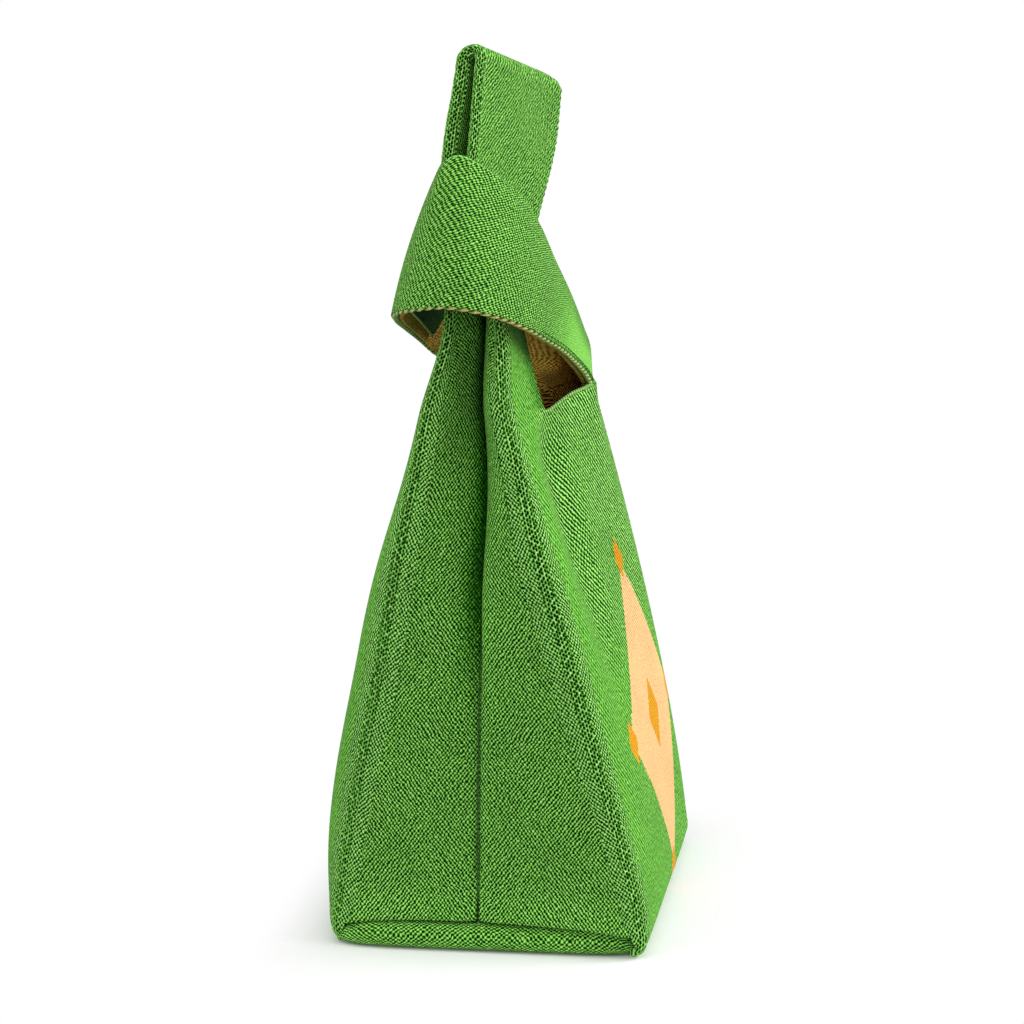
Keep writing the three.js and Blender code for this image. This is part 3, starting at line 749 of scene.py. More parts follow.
CREASE_HEIGHT = 8.6
CREASE_DROP = 2.2
TUCK = 6.0
OVERHANG = 1.5
OVERHANG_HEIGHT = 3.0
OVERHANG_SPREAD = 5.0
PUFF = 1.3
CREASE = 1.6
CREASE_SPREAD = 1.8
# A dark flat tone in place of the holes: painted shade, for the groove of the left fold and for the
# collar's inner fold.
FOLD_PAINTED_SHADE = 0.45
FOLD_SHADE_SHARE = 0.85
GUSSET_COLUMNS = 34
BODY_ROWS = 120
BODY_ROWS_LOW = 1.4
STEM_ROWS = 43
for end in (LEFT, RIGHT):
    for side in (FRONT, BACK):
        across = np.linspace(0, 1, GUSSET_COLUMNS)[None, :]
        hem = CREASE_HEIGHT - CREASE_DROP * (1 - across) ** 3
        climb = np.linspace(0, 1, BODY_ROWS)[:, None] ** BODY_ROWS_LOW
        lift = hem + (NECK_HEIGHT - hem) * climb
        surface = gusset(end, side, across, lift)
        if end == LEFT:
            s = np.linspace(0, 1, STEM_ROWS + 1)[1:, None]
            stem = stem_fold(side, *np.broadcast_arrays(across, s))
            surface = np.concatenate([surface, stem])
            lift = np.concatenate([lift, np.full(stem.shape[:2], NECK_HEIGHT)])
        from_ridge = run_length(surface, 1)
        above = lift - lift[:1]
        overhung = OVERHANG * bell(above, OVERHANG_HEIGHT, OVERHANG_SPREAD)
        tucked = overhung - TUCK * (1 - smooth(0, 1.8, above))
        puffed = PUFF * np.sin(np.pi * across) * (1 - level(lift)) * smooth(8, 40, lift)
        from_seam = from_ridge[:, -1:] - from_ridge
        walked = run_length(surface, 0)
        climbed = lift + np.maximum(walked - walked[BODY_ROWS - 1], 0) * (lift == NECK_HEIGHT)
        creased = -CREASE * np.exp(-from_seam / CREASE_SPREAD)
        creased = creased * (1 - smooth(0.5, 0.9, level(lift)))
        # Near the left seam and high up: painted highlight on the front half, and painted shade in
        # the groove on the back half.
        in_fold = smooth(0.45, 0.9, across) * smooth(0.4, 0.75, level(lift)) * (end == LEFT)
        tone, painted_share = (PAINTED_HIGHLIGHT_TONE, PAINTED_TONE_SHARE) if side == FRONT else (FOLD_PAINTED_SHADE, FOLD_SHADE_SHARE)
        piece = cloth(
            f"{END_NAMES[end]}_gusset_{SIDE_NAMES[side]}_cloth",
            surface,
            KNIT,
            BODY_MIDDLE,
            green_knit,
            stitches=np.stack([-from_seam, climbed], axis=-1),
            swell=tucked + puffed + creased,
            net=flat_tone(tone, painted_share * in_fold),
        )
        if end == LEFT:
            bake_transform(piece)
        else:
            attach(piece, "bag")
        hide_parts(f"{END_NAMES[end]}_gusset_{SIDE_NAMES[side]}")


# Corner ridges: the knit is stretched over each corner, so its stitches open to a net of holes
# there. The left pair runs on up the near edges of the long handle.
OPEN_WALE = 1.95
OPEN_COURSE = 1.55
HOLE_DEPTH = 0.9
CROWN_RISE = 0.2
HOLE_HALF = (0.32, 0.53)
HOLE_SHIFT = 0.13
HOLE_CHANCE = (12.9, 78.2, 43.7)
FAR_OFF = 9.0
NET_STEP = 0.3
NET_HALF = 2.1
EDGE_RADIUS = 1.1


def leg(side, across, s):
    """Outer cloth of the long handle's leg, from its near ridge at 0 to its far edge at 1."""
    start = -1 + EDGE_CLEARANCE / ridge_x(NECK_HEIGHT)
    ridge, edge = WAIST_RIDGE[side] + PLY_SPLIT, WAIST_FAR + PLY_SPLIT
    waist = waist_point(
        (WAIST_CLEARANCE - WAIST_WIDTH / 2) * (1 - across) + WAIST_WIDTH / 2 * across,
        -side * (ridge * (1 - across) + edge * across),
    )
    near, far = NECK_CLEARANCE - HANDLE_WIDTH / 2, HANDLE_WIDTH / 2 - EDGE_RADIUS - GAP
    neck = handle_point(
        near + (far - near) * across, -side * (PLY_MIDDLE + PLY_SPLIT), -NECK_LENGTH - GAP
    )
    place_on_panel = start + (LONG_HANDLE_ROOT - start) * across
    return strand(lambda height: panel(side, place_on_panel, height), waist, neck, s)


def stem_ridge(side, s):
    """The near ridge of the long handle, over the body's corner ridge."""
    waist = waist_point(-WAIST_WIDTH / 2, -side * WAIST_RIDGE[side])
    neck = handle_point(-HANDLE_WIDTH / 2, -side * PLY_MIDDLE, -NECK_LENGTH - GAP)
    return strand(lambda height: panel(side, -1.0, height), waist, neck, s)


def corner_lines(end, side, climb):
    """The panel's edge, the ridge and the gusset's edge: climb 0 to 1 is the body, and on the left
    1 to 2 the long handle."""
    z = HEM_BOTTOM + (NECK_HEIGHT - HEM_BOTTOM) * np.minimum(climb, 1)
    reach = 1 - clearance(z) / ridge_x(z)
    lines = [panel(side, end * reach, z), panel(side, float(end), z), gusset(end, side, 0.0, z)]
    if end == LEFT:
        s = np.maximum(climb - 1, 0)
        nought = np.zeros_like(s)
        stem = [leg(side, nought, s), stem_ridge(side, s), stem_fold(side, nought, s)]
        lines = [np.where((climb > 1)[:, None], up, low) for up, low in zip(stem, lines)]
    return lines


def even_steps(path, parameter, step):
    """Parameters at even distances of about one step along a path of points."""
    walked = run_length(path[None], 1)[0]
    count = int(round(walked[-1] / step))
    return np.interp(np.linspace(0, walked[-1], count + 1), walked, parameter)


def open_holes(stitches):
    """The open stitches' net: upright elliptic holes on a staggered lattice, each shifted a little
    by a sine of its own place. It is 1 in a hole, 0 on its rim and -1 on the crown between holes."""
    wales, courses = stitches[..., 0] / OPEN_WALE, stitches[..., 1] / OPEN_COURSE
    nearest = np.full(wales.shape, FAR_OFF)
    for rising in (-1, 0, 1):
        for falling in (-1, 0, 1):
            first = np.round(wales + courses) + rising
            second = np.round(wales - courses) + falling
            chance = np.sin(first * HOLE_CHANCE[0] + second * HOLE_CHANCE[1]) * HOLE_CHANCE[2]
            shift = HOLE_SHIFT * np.cos(math.tau * chance)
            drift = HOLE_SHIFT * np.sin(math.tau * chance)
            side_step = OPEN_WALE * (wales - (first + second) / 2) - shift
            climb_step = OPEN_COURSE * (courses - (first - second) / 2) - drift
            away = np.hypot(side_step / HOLE_HALF[0], climb_step / HOLE_HALF[1])
            nearest = np.minimum(nearest, away)
    return 1 - smooth(0.5, 1.2, nearest) - smooth(1.2, 1.9, nearest)


def net_relief(net):
    """How far the net's surface is raised or sunk."""
    return np.where(net > 0, -HOLE_DEPTH * net, -CROWN_RISE * net)


# Hole and shade colours are painted shade and the crown is painted highlight, as on the green knit.
open_stitch = knit_material(
    "open_stitch",
    hole=yarn(0, 20, 0),
    shade=yarn(26, 96, 10),
    body=yarn(100, 172, 56),
    crown=yarn(172, 238, 128),
)
STRIP_COLUMNS = 41
for end in (LEFT, RIGHT):
    for side in (FRONT, BACK):
        rough = np.linspace(0, 2 if end == LEFT else 1, 900)
        climb = even_steps(corner_lines(end, side, rough)[1], rough, NET_STEP)
        edge, ridge, fold = corner_lines(end, side, climb)
        bend = np.linspace(0, 1, STRIP_COLUMNS)[None, :, None]
        strip = (
            edge[:, None] * (1 - bend) ** 2
            + 2 * ridge[:, None] * bend * (1 - bend)
            + fold[:, None] * bend**2
        )
        outward = unit(2 * ridge - edge - fold)[:, None]
        normals = grid_normals(strip)
        facing = np.sign(np.sum(normals * outward, axis=-1, keepdims=True))
        girth = run_length(strip + normals * facing * KNIT / 2, 1)
        stitches = np.stack([girth - girth[:, -1:] / 2, run_length(strip, 0)], axis=-1)
        netted = 1 - smooth(0.6 * NET_HALF, 1.4 * NET_HALF, np.abs(stitches[..., 0]))
        net = open_holes(stitches)
        piece = cloth(
            f"corner_welt_{SIDE_NAMES[side]}_{END_NAMES[end]}_net",
            strip,
            KNIT,
            BODY_MIDDLE,
            open_stitch,
            stitches=stitches,
            net=np.stack([net, netted], axis=-1),
            relief=net_relief(net) * netted,
        )
        if end == LEFT:
            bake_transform(piece)
        else:
            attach(piece, "bag")
        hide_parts(f"corner_welt_{SIDE_NAMES[side]}_{END_NAMES[end]}")


# Base: a flat bottom in the same green knit, linked to the foot of the panels and gussets. At each
# end of it is a soft roll, where the gusset's hem is turned under.
BASE_INSET = 5.0
BASE_PULL = 0.03
BASE_SQUARE = 12
ROLL_DEPTH = 9.6
ROLL_TALL = 9.4
ROLL_OUT = 3.8
ROLL_SKEW = 2.0
ROLL_BACK = 2.0
ROLL_SHORT = 0.8
ROLL_SHIFT = 1.2
ROLL_CLOSED = 0.998
ROLL_SIDES = 36
SQUARE_BELOW = 0.06
SQUARE_ABOVE = 0.2
SQUARE_LEAST = 0.01


def tube(name, path, first, wide, deep, material, shares=None):
    """A closed tube: a ring round each point of a path, wide along the direction first and deep
    square to it, both per point and angle, with a flat cap at each end."""
    ahead = unit(np.gradient(path, axis=0))
    first = unit(first - np.sum(first * ahead, axis=-1, keepdims=True) * ahead)
    second = np.cross(ahead, first)
    rows, sides = np.shape(wide)
    angle = math.tau * np.arange(sides) / sides
    rings = (
        path[:, None]
        + (wide * np.cos(angle))[..., None] * first[:, None]
        + (deep * np.sin(angle))[..., None] * second[:, None]
    )
    index = np.arange(rows * sides).reshape(rows, sides)
    beside = np.roll(index, -1, axis=1)
    quads = np.stack([index[:-1], beside[:-1], beside[1:], index[1:]], axis=-1).reshape(-1, 4)
    caps = [index[0][::-1].tolist(), index[-1].tolist()]
    walked = run_length(path[None], 1)[0]
    girth = math.tau * np.mean(wide + deep) / 2
    stitches = np.stack(
        np.broadcast_arrays((angle / math.tau * girth)[None], walked[:, None]), axis=-1
    ).reshape(-1, 2)
    vertices = rings.reshape(-1, 3)
    return make_piece(name, vertices, quads.tolist() + caps, stitches, shares or {}, material)


def base_sheet(inset, height):
    """A level rectangle inset from the base's outline, each side drawn in at its ends by a high
    power of the distance from its middle."""
    wide = np.linspace(-1, 1, 80)[None, :]
    deep = np.linspace(-1, 1, 64)[:, None]
    x = wide * (BAG_WIDTH / 2 - inset) * (1 - BASE_PULL * np.abs(deep) ** BASE_SQUARE)
    y = deep * (BAG_DEPTH / 2 - inset) * (1 - BASE_PULL * np.abs(wide) ** BASE_SQUARE)
    return points(x, y, height)


base = cloth("base_panel_cloth", base_sheet(BASE_INSET, KNIT / 2), KNIT, BODY_MIDDLE, green_knit)
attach(base, "bag")
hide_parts("base_panel")

for end in (LEFT, RIGHT):
    share = np.sin(np.linspace(-np.pi / 2, np.pi / 2, 140))
    thick = (1 - ROLL_CLOSED * share**8) ** 0.5
    reach = BAG_WIDTH / 2 + ROLL_OUT + ROLL_SKEW * share - ROLL_DEPTH / 2 - ROLL_BACK * share**6
    path = points(
        end * reach,
        share * (BAG_DEPTH / 2 - ROLL_SHORT) + ROLL_SHIFT,
        ROLL_TALL / 2 * thick,
    )
    round_roll = math.tau * np.arange(ROLL_SIDES) / ROLL_SIDES
    square = SQUARE_BELOW + SQUARE_ABOVE * (end * np.sin(round_roll) > 0)
    flat_front = np.maximum(np.abs(np.cos(round_roll)), SQUARE_LEAST) ** -square
    flat_top = np.maximum(np.abs(np.sin(round_roll)), SQUARE_LEAST) ** -square
    roll = tube(
        f"{END_NAMES[end]}_base_roll_cloth",
        path,
        np.array([-end, 0.0, 0.0]),
        wide=ROLL_DEPTH / 2 * thick[:, None] * flat_front,
        deep=ROLL_TALL / 2 * thick[:, None] * flat_top,
        material=green_knit,
    )
    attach(roll, "bag")
    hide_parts(f"{END_NAMES[end]}_base_roll")


# Linings: the golden reverse of the double knit, which shows inside the mouth and the collar. Each
# is a thin cloth that lies close against the inside of a green one and stops short of its edges.
LINING = 1.2
LINING_OFFSET = KNIT / 2 + LINING / 2 + 0.4
LINING_MARGIN = 9.5
LINING_TOP = NECK_HEIGHT - 2.0
LINING_FOOT = ROLL_TALL + 4
LINING_ROWS = 80
FOLD_RUN = (0.13, 0.9)
FOLD_ROOM = 0.8
BASE_TOP = 2.7
BASE_LINING_INSET = KNIT + 2 * LINING + 4 * GAP + 1.4
# Hole and shade colours are painted shade and the crown is painted highlight, as on the green knit.
gold_knit = knit_material(
    "gold_knit",
    hole=yarn(64, 40, 2),
    shade=yarn(124, 84, 12),
    body=yarn(200, 150, 44),
    crown=yarn(250, 214, 110),
    size=0.9,
)

for side in (FRONT, BACK):
    z = np.linspace(FOOT_HEIGHT, LINING_TOP, LINING_ROWS)[:, None]
    across = np.linspace(-1, 1, 60)[None, :] * (1 - LINING_MARGIN / ridge_x(z))
    lining = cloth(
        f"{SIDE_NAMES[side]}_lining_cloth",
        panel(side, across, z),
        LINING,
        BODY_MIDDLE,
        gold_knit,
        swell=drape(side, across, z) - LINING_OFFSET,
    )
    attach(lining, "bag")
    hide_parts(f"{SIDE_NAMES[side]}_lining")

for end in (LEFT, RIGHT):
    z = np.linspace(LINING_FOOT, LINING_TOP, LINING_ROWS)[:, None]
    fold = np.linspace(*FOLD_RUN, 24)[None, :]
    halves = [gusset(end, FRONT, fold, z), gusset(end, BACK, fold[:, ::-1], z)]
    lining = cloth(
        f"{END_NAMES[end]}_gusset_lining_cloth",
        np.concatenate(halves, axis=1),
        LINING,
        BODY_MIDDLE,
        gold_knit,
        swell=-LINING_OFFSET - FOLD_ROOM,
    )
    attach(lining, "bag")
    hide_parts(f"{END_NAMES[end]}_gusset_lining")

surface = base_sheet(BASE_LINING_INSET, BASE_TOP + LINING / 2)
lining = cloth("base_lining_cloth", surface, LINING, BODY_MIDDLE, gold_knit)
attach(lining, "bag")
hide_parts("base_lining")


# Gusset seams: a linked seam at the bottom of each gusset's fold, where small even stitches hold
# the two halves together. Its dark greens are painted shade, the shadow in the fold's valley.
SEAM_RADIUS = 0.9
SEAM_SINK = 1.0
STITCH_STEPS = 8
CORD_SIDES = 12


def bound(name, path, outward, radius, pitch, depth, material, gold=1.0, flatten=1.0, slant=0.6):
    """A cord of whip stitches: its radius rises and falls as the sine of the distance along it, the
    phase carried round slantwise; gold yarn shows on the crowns, and painted shade darkens the dips
    between them."""
    steps = np.linspace(0, 1, len(path))
    even = even_steps(path, steps, pitch / STITCH_STEPS)
    outward = np.broadcast_to(outward, path.shape)
    path, outward = (
        np.stack([np.interp(even, steps, part[:, axis]) for axis in range(3)], axis=-1)
        for part in (path, outward)
    )
    gold = np.interp(even, steps, np.broadcast_to(gold, len(steps)))[:, None]
    turn = np.arange(CORD_SIDES) / CORD_SIDES
    walked = run_length(path[None], 1)[0][:, None]
    crown = np.abs(np.sin(np.pi * (walked / pitch + slant * np.cos(math.tau * turn) / 2)))
    ring = radius * (1 - depth + depth * crown**0.7)
    # The share between stitches takes painted shade.
    shares = {"gold": gold * smooth(0.45, 0.8, crown), "between": 1 - smooth(0.2, 0.75, crown)}
    return tube(name, path, outward, ring, flatten * ring, material, shares)


# Dark greens for the gusset seams: painted shade in the fold's valley. The collar's teeth use them
# too.
dark_cord = knit_material(
    "dark_cord",
    hole=yarn(4, 40, 4),
    shade=yarn(24, 70, 16),
    body=yarn(56, 108, 38),
    crown=yarn(96, 152, 70),
)
for end in (LEFT, RIGHT):
    z = np.linspace(CREASE_HEIGHT, NECK_HEIGHT, 200)
    seam = bound(
        f"{END_NAMES[end]}_gusset_seam_thread",
        valley(end, z) - [end * SEAM_SINK, 0, 0],
        np.array([end, 0.0, 0.0]),
        radius=SEAM_RADIUS,
        pitch=1.6,
        depth=0.25,
        material=dark_cord,
        gold=0.0,
    )
    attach(seam, "bag")
    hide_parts(f"{END_NAMES[end]}_gusset_seam")


# Long handle's legs: green knit, cut in one with the panels. They rise from the neckline to the band
# over the top, and are gathered where the collar pinches them.
# The legs' flat tone runs from painted highlight beside the near ridge to painted shade at the far
# edge, which turns in under the mouth.
LEG_PAINTED_SHADE = 0.45
LEG_ROWS = 50
LEG_COLUMNS = 40
for side in (FRONT, BACK):
    s, across = np.meshgrid(
        np.linspace(0, 1, LEG_ROWS), np.linspace(0, 1, LEG_COLUMNS), indexing="ij"
    )
    surface = leg(side, across, s)
    tone = PAINTED_HIGHLIGHT_TONE + LEG_PAINTED_SHADE * smooth(0.5, 1, across)
    piece = cloth(
        f"long_handle_leg_{SIDE_NAMES[side]}_cloth",
        surface,
        KNIT,
        WAIST,
        panel_knit,
        stitches=walked_map(surface),
        net=flat_tone(tone, PAINTED_TONE_SHARE),
    )
    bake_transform(piece)
    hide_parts(f"long_handle_leg_{SIDE_NAMES[side]}")


# Loop of the long handle: one doubled band over the top, which bends at the collar's rim. Its near
# edges are folds with open stitches, and its far edges are whipped together in green.
NEAR_RISE = 34.0
FAR_RISE = 49.0
LOOP_NARROWING = 1.2
HINGE_RADIUS = 8.0
OUTER_HALF = HANDLE_SLIT / 2 + PLY
TOP_RADIUS = OUTER_HALF - LOOP_NARROWING
LEG_SHARE = 0.38
FAR_END = 1.03
FAR_DRAW = 11.0
DRAW_RUN = (-14, 34)
FAR_ROUND = 0.6
FAR_SQUARE = 0.25
NEAR_PINCH = 0.45
NEAR_SPREAD = 0.2
NEAR_EASE = 16.0


def loop(across, inset, over):
    """The band's path over the top: up the front ply, half round, and down the back ply, inset from
    its outer face. across goes from the near edge at 0, which is pinched, to the far one at 1, which
    draws in low down and is squarer on top."""
    across, over = np.broadcast_arrays(np.asarray(across, float), np.asarray(over, float))
    spring = NEAR_RISE + (FAR_RISE - NEAR_RISE) * across - TOP_RADIUS
    spring = spring - FAR_ROUND * smooth(0.93, 1, across) ** 2
    climb = np.minimum(1, np.minimum(over, 1 - over) / LEG_SHARE)
    height = -NECK_LENGTH + (spring + NECK_LENGTH) * climb
    narrow = smooth(0.2, 1, (height + HINGE_RADIUS) / (spring + HINGE_RADIUS))
    half = OUTER_HALF + (TOP_RADIUS - OUTER_HALF) * narrow - inset
    angle = np.pi * np.clip((over - LEG_SHARE) / (1 - 2 * LEG_SHARE), 0, 1)
    radius = TOP_RADIUS - inset
    on_top = climb >= 1
    square = 1 - FAR_SQUARE * across
    arch = np.sign(np.cos(angle)) * np.abs(np.cos(angle)) ** square
    offset = np.where(on_top, radius * arch, np.where(over < 0.5, half, -half))
    drawn = (1 - across) * smooth(0, NEAR_EASE, height + NECK_LENGTH)
    offset = offset * (1 + drawn * np.where(offset > 0, -NEAR_PINCH, NEAR_SPREAD))
    height = np.where(on_top, spring + radius * np.sin(angle) ** square, height)
    far = HANDLE_WIDTH / 2 - FAR_DRAW * (1 - smooth(*DRAW_RUN, height)) * across
    return handle_point(-HANDLE_WIDTH / 2 + (far + HANDLE_WIDTH / 2) * across, offset, height)


NEAR_FOLD = 0.6 / HANDLE_WIDTH
NEAR_THIN = 0.42
RIPPLE = 0.14
RIPPLE_PITCH = 2.6
BAND_ROWS = 480
BAND_COLUMNS = 56
across = np.linspace(NEAR_FOLD, FAR_END, BAND_COLUMNS)[None, :]
over = np.linspace(0, 1, BAND_ROWS)[:, None]
surface = loop(across, PLY / 2, over)
band_map = walked_map(surface)
ripple = RIPPLE * np.sin(math.tau * band_map[..., 1] / RIPPLE_PITCH) * smooth(0.55, 0.9, across)
on_front = 1 - smooth(0.4, 0.6, over)
band = cloth(
    "long_handle_band_cloth",
    surface,
    PLY * (1 - NEAR_THIN * on_front * (1 - across) ** 2),
    HINGE,
    green_knit,
    stitches=band_map,
    swell=ripple,
)
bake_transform(band)
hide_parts("long_handle_band", "long_handle_neck_front", "long_handle_neck_back")

NEAR_ROUND = 2.6
NEAR_TAPER = 0.4
FRONT_FOLD = 0.64
BACK_FOLD = 0.84
FOLD_GIRTH = 8 * OPEN_WALE
FOLD_SIDES = 56
rough = np.linspace(0, 1, 700)
over = even_steps(loop(NEAR_FOLD, PLY / 2, rough), rough, NET_STEP)
round_fold = np.arange(FOLD_SIDES) * FOLD_GIRTH / FOLD_SIDES
net = open_holes(np.stack(np.meshgrid(round_fold, np.arange(len(over)) * NET_STEP), axis=-1))
taper = NEAR_TAPER + (1 - NEAR_TAPER) * smooth(0, 0.12, np.minimum(over, 1 - over))
flat_fold = BACK_FOLD + (FRONT_FOLD - BACK_FOLD) * (1 - smooth(0.4, 0.6, over))
near_fold = tube(
    "long_handle_near_edge_fold",
    loop(NEAR_FOLD, PLY / 2, over),
    -ALONG,
    wide=NEAR_ROUND * taper[:, None] + net_relief(net),
    deep=PLY / 2 * flat_fold[:, None] + net_relief(net),
    material=open_stitch,
    shares={"net": net, "netted": np.ones_like(net)},
)
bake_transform(near_fold)
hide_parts("long_handle_near_edge")


WHIP_BUMP = {"Strength": 0.5, "Distance": 0.0003}
WHIP_FINISH = {"Roughness": 0.85, "Specular IOR Level": 0.22, "Sheen Weight": 0.15}


def whip_material(name, crown, flank, gold, flank_gold, gap_shade):
    """Whip-stitch yarn: green shaded by fine twist, gold where the piece says so, and painted shade
    between one stitch and the next."""
    material = bpy.data.materials.new(name)
    tree = clean_tree(material)
    flat = add_node(tree, "ShaderNodeUVMap", uv_map="stitches").outputs[0]
    twist = noise(tree, flat, scale=1.6, detail=3.0)
    green = ramp(tree, twist, [(0.3, flank), (0.7, crown)])
    golden = ramp(tree, twist, [(0.3, flank_gold), (0.6, gold)])
    stitch = mixed_colour(tree, attribute(tree, "gold"), green, golden)
    colour = mixed_colour(tree, attribute(tree, "between"), stitch, gap_shade)
    yarn_surface(tree, colour, twist, WHIP_BUMP, WHIP_FINISH)
    return material


whip_stitch = whip_material(
    "whip_stitch",
    crown=yarn(160, 226, 124),
    flank=yarn(92, 160, 60),
    gold=yarn(250, 232, 150),
    flank_gold=yarn(206, 164, 60),
    gap_shade=yarn(14, 56, 8),
)
far_edge = bound(
    "long_handle_far_edge_whip",
    loop(FAR_END, PLY / 2, np.linspace(0, 1, 400)),
    ALONG,
    radius=EDGE_RADIUS,
    pitch=2.2,
    depth=0.3,
    material=whip_stitch,
    gold=0.12,
    flatten=2.1,
)
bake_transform(far_edge)
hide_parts("long_handle_far_edge")


# Mouth: the panels' neckline and the legs' far edges are overcast in green with a little gold, in
# one run from the long handle down to the root of the short one.
SHORT_HANDLE_ROOT = 0.46
TRIM_STOP = 2.0
TRIM_CLEARANCE = 0.5
TRIM_END = 0.12
LEG_KNOTS = 8
BRIM_KNOTS = 12
INSIDE_EDGE = 0.95
WHIP_PITCH = 3.2


def rim(knots, share):
    """A smooth curve through knots: a cubic for each span, whose slopes come from the knots on both
    sides, with each chord timed by its square root. share goes from 0 to 1, equal parts a span."""
    knots = np.asarray(knots, float)
    wide = np.concatenate([[2 * knots[0] - knots[1]], knots, [2 * knots[-1] - knots[-2]]])
    walked = np.asarray(share, float) * (len(knots) - 1)
    span = np.clip(walked.astype(int), 0, len(knots) - 2)
    t = (walked - span)[:, None]
    p0, p1, p2, p3 = (wide[span + step] for step in range(4))
    chords = (p1 - p0, p2 - p1, p3 - p2)
    d0, d1, d2 = (np.sqrt(np.linalg.norm(chord, axis=-1, keepdims=True)) for chord in chords)
    leave = ((p1 - p0) / d0 - (p2 - p0) / (d0 + d1) + (p2 - p1) / d1) * d1
    arrive = ((p2 - p1) / d1 - (p3 - p1) / (d1 + d2) + (p3 - p2) / d2) * d1
    curve = p1 + leave * t + (3 * (p2 - p1) - 2 * leave - arrive) * t**2
    return curve + (2 * (p1 - p2) + leave + arrive) * t**3


for side in (FRONT, BACK):
    s = np.linspace(1, TRIM_END, LEG_KNOTS)
    edge, inner = (leg(side, np.full(LEG_KNOTS, across), s) for across in (1.0, INSIDE_EDGE))
    beside = edge + TRIM_CLEARANCE * unit(edge - inner)
    corner = LONG_HANDLE_ROOT + 2 * TRIM_CLEARANCE / ridge_x(NECK_HEIGHT)
    stop = SHORT_HANDLE_ROOT - TRIM_STOP / ridge_x(NECK_HEIGHT)
    along = np.linspace(corner, stop, BRIM_KNOTS)
    brim = panel(side, along, neckline(side, along)) + [0, 0, TRIM_CLEARANCE]
    mouth = bound(
        f"{SIDE_NAMES[side]}_mouth_edge_whip",
        rim(np.concatenate([beside, brim]), np.linspace(0, 1, 500)),
        np.array([0.0, side, 0.0]),
        radius=0.65 * EDGE_RADIUS,
        pitch=0.65 * WHIP_PITCH,
        depth=0.8,
        material=whip_stitch,
        gold=0.1,
    )
    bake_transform(mouth)
    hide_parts(f"{SIDE_NAMES[side]}_mouth_edge")


# Short handle: green knit with a gold reverse, cut in one with the panels and wrapped round the near
# side of the long handle as a collar. Its rim is a soft roll, its lower edge overcast in gold.
KNOT_MIDDLE = KNOT + np.array([10.0, 0.0, -30.0])
COLLAR_ROWS = 380
COLLAR_COLUMNS = 64
COLLAR_BULGE = 2.0
# A flat lighter tone over the collar's front end, fading out towards its upper rim: painted
# highlight.
COLLAR_HIGHLIGHT_SHARE = 0.75
COLLAR_HIGHLIGHT_TONE = -0.4
BACK_EASE = 0.2
COLLAR_WELT_RADIUS = 1.8
ROOT_LAP = -0.6
LEAST_LEAN = 0.6
BEAD_RISE = 0.4
TEETH_FROM = 0.02
TEETH_TO = 0.3
TEETH_RISE = 1.6
INNER_FROM = 0.47
INNER_TO = 0.86
INNER_COLUMNS = slice(7, 40)
INNER_DEPTH = LINING_OFFSET + 1.5
LOWER_EDGE = [
    (0.56, -25, -63),
    (0.27, -23.5, -56.6),
    (-0.02, -22, -51),
    (-0.31, -19.3, -45.7),
    (-0.6, -15.3, -40),
    (-0.8, -9.5, -35.6),
    (-0.95, -2, -32.4),
    (-0.98, 6.9, -31),
    (-0.89, 17.5, -32.5),
    (-0.69, 26.1, -35.3),
    (-0.42, 29.5, -39.4),
    (-0.05, 30.2, -45.0),
    (0.35, 30.0, -51.6),
    (0.63, 28.0, -58.0),
]
UPPER_EDGE = [
    (1.32, -20, -61),
    (1, -19.8, -50),
    (0.6, -18.6, -36),
    (0.21, -16.4, -22),
    (-0.07, -14, -9.5),
    (-0.35, -10, 2.0),
    (-0.58, -3.5, 9.4),
    (-0.72, 5, 15.2),
    (-0.72, 8.2, 14.4),
    (-0.58, 12.8, 9.5),
    (-0.28, 17.6, 0.5),
    (0.12, 17.5, -12.5),
    (0.56, 14, -29),
    (1, 11, -49),
]


def collar_edge(places, root_across):
    """The knots of one edge: on the front panel, round the knot, and on the back panel."""
    roots = [panel(side, root_across, NECK_HEIGHT) + [0, 0, ROOT_LAP] for side in (FRONT, BACK)]
    return [roots[0], *(KNOT + np.array(places) * [HANDLE_WIDTH, 1, 1]), roots[1]]


lower_knots = collar_edge(LOWER_EDGE, SHORT_HANDLE_ROOT)
upper_knots = collar_edge(UPPER_EDGE, 1.0)
round_it = np.linspace(0, 1, COLLAR_ROWS)
low = rim(lower_knots, round_it)
high = rim(upper_knots, round_it)
rule = unit(high - low)
width = np.linalg.norm(high - low, axis=-1)
outward = unit(np.cross(rule, np.gradient(low, axis=0)))


def edge_room(edge, radius):
    """The share of the collar's width that the round piece along an edge takes."""
    lean = np.linalg.norm(np.cross(rule, unit(np.gradient(edge, axis=0))), axis=-1)
    return radius / (width * np.maximum(lean, LEAST_LEAN))


height = np.linspace(0, 1, COLLAR_COLUMNS)[None, :]
first = edge_room(low, 0.5 * EDGE_RADIUS)[:, None]
last = 1 - edge_room(high, 0.2 * COLLAR_WELT_RADIUS)[:, None]
share = first + (last - first) * height
fullness = np.sin(np.pi * round_it) * (1 - BACK_EASE * smooth(0.45, 0.6, round_it))
bulge = COLLAR_BULGE * 4 * share * (1 - share) * fullness[:, None]
collar = (
    low[:, None]
    + (high - low)[:, None] * share[..., None]
    + outward[:, None] * bulge[..., None]
)
collar_map = walked_map(collar)
collar_highlight = COLLAR_HIGHLIGHT_SHARE * (1 - smooth(0.16, 0.3, round_it))[:, None] * (1 - smooth(0.4, 0.95, share))
collar_knit = knit_material("collar_knit", **GREEN, size=0.97, lean=(0.45, 0.55))
wrap = cloth(
    "short_handle_cloth",
    collar,
    KNIT,
    KNOT_MIDDLE,
    collar_knit,
    stitches=collar_map,
    net=flat_tone(COLLAR_HIGHLIGHT_TONE, collar_highlight),
)
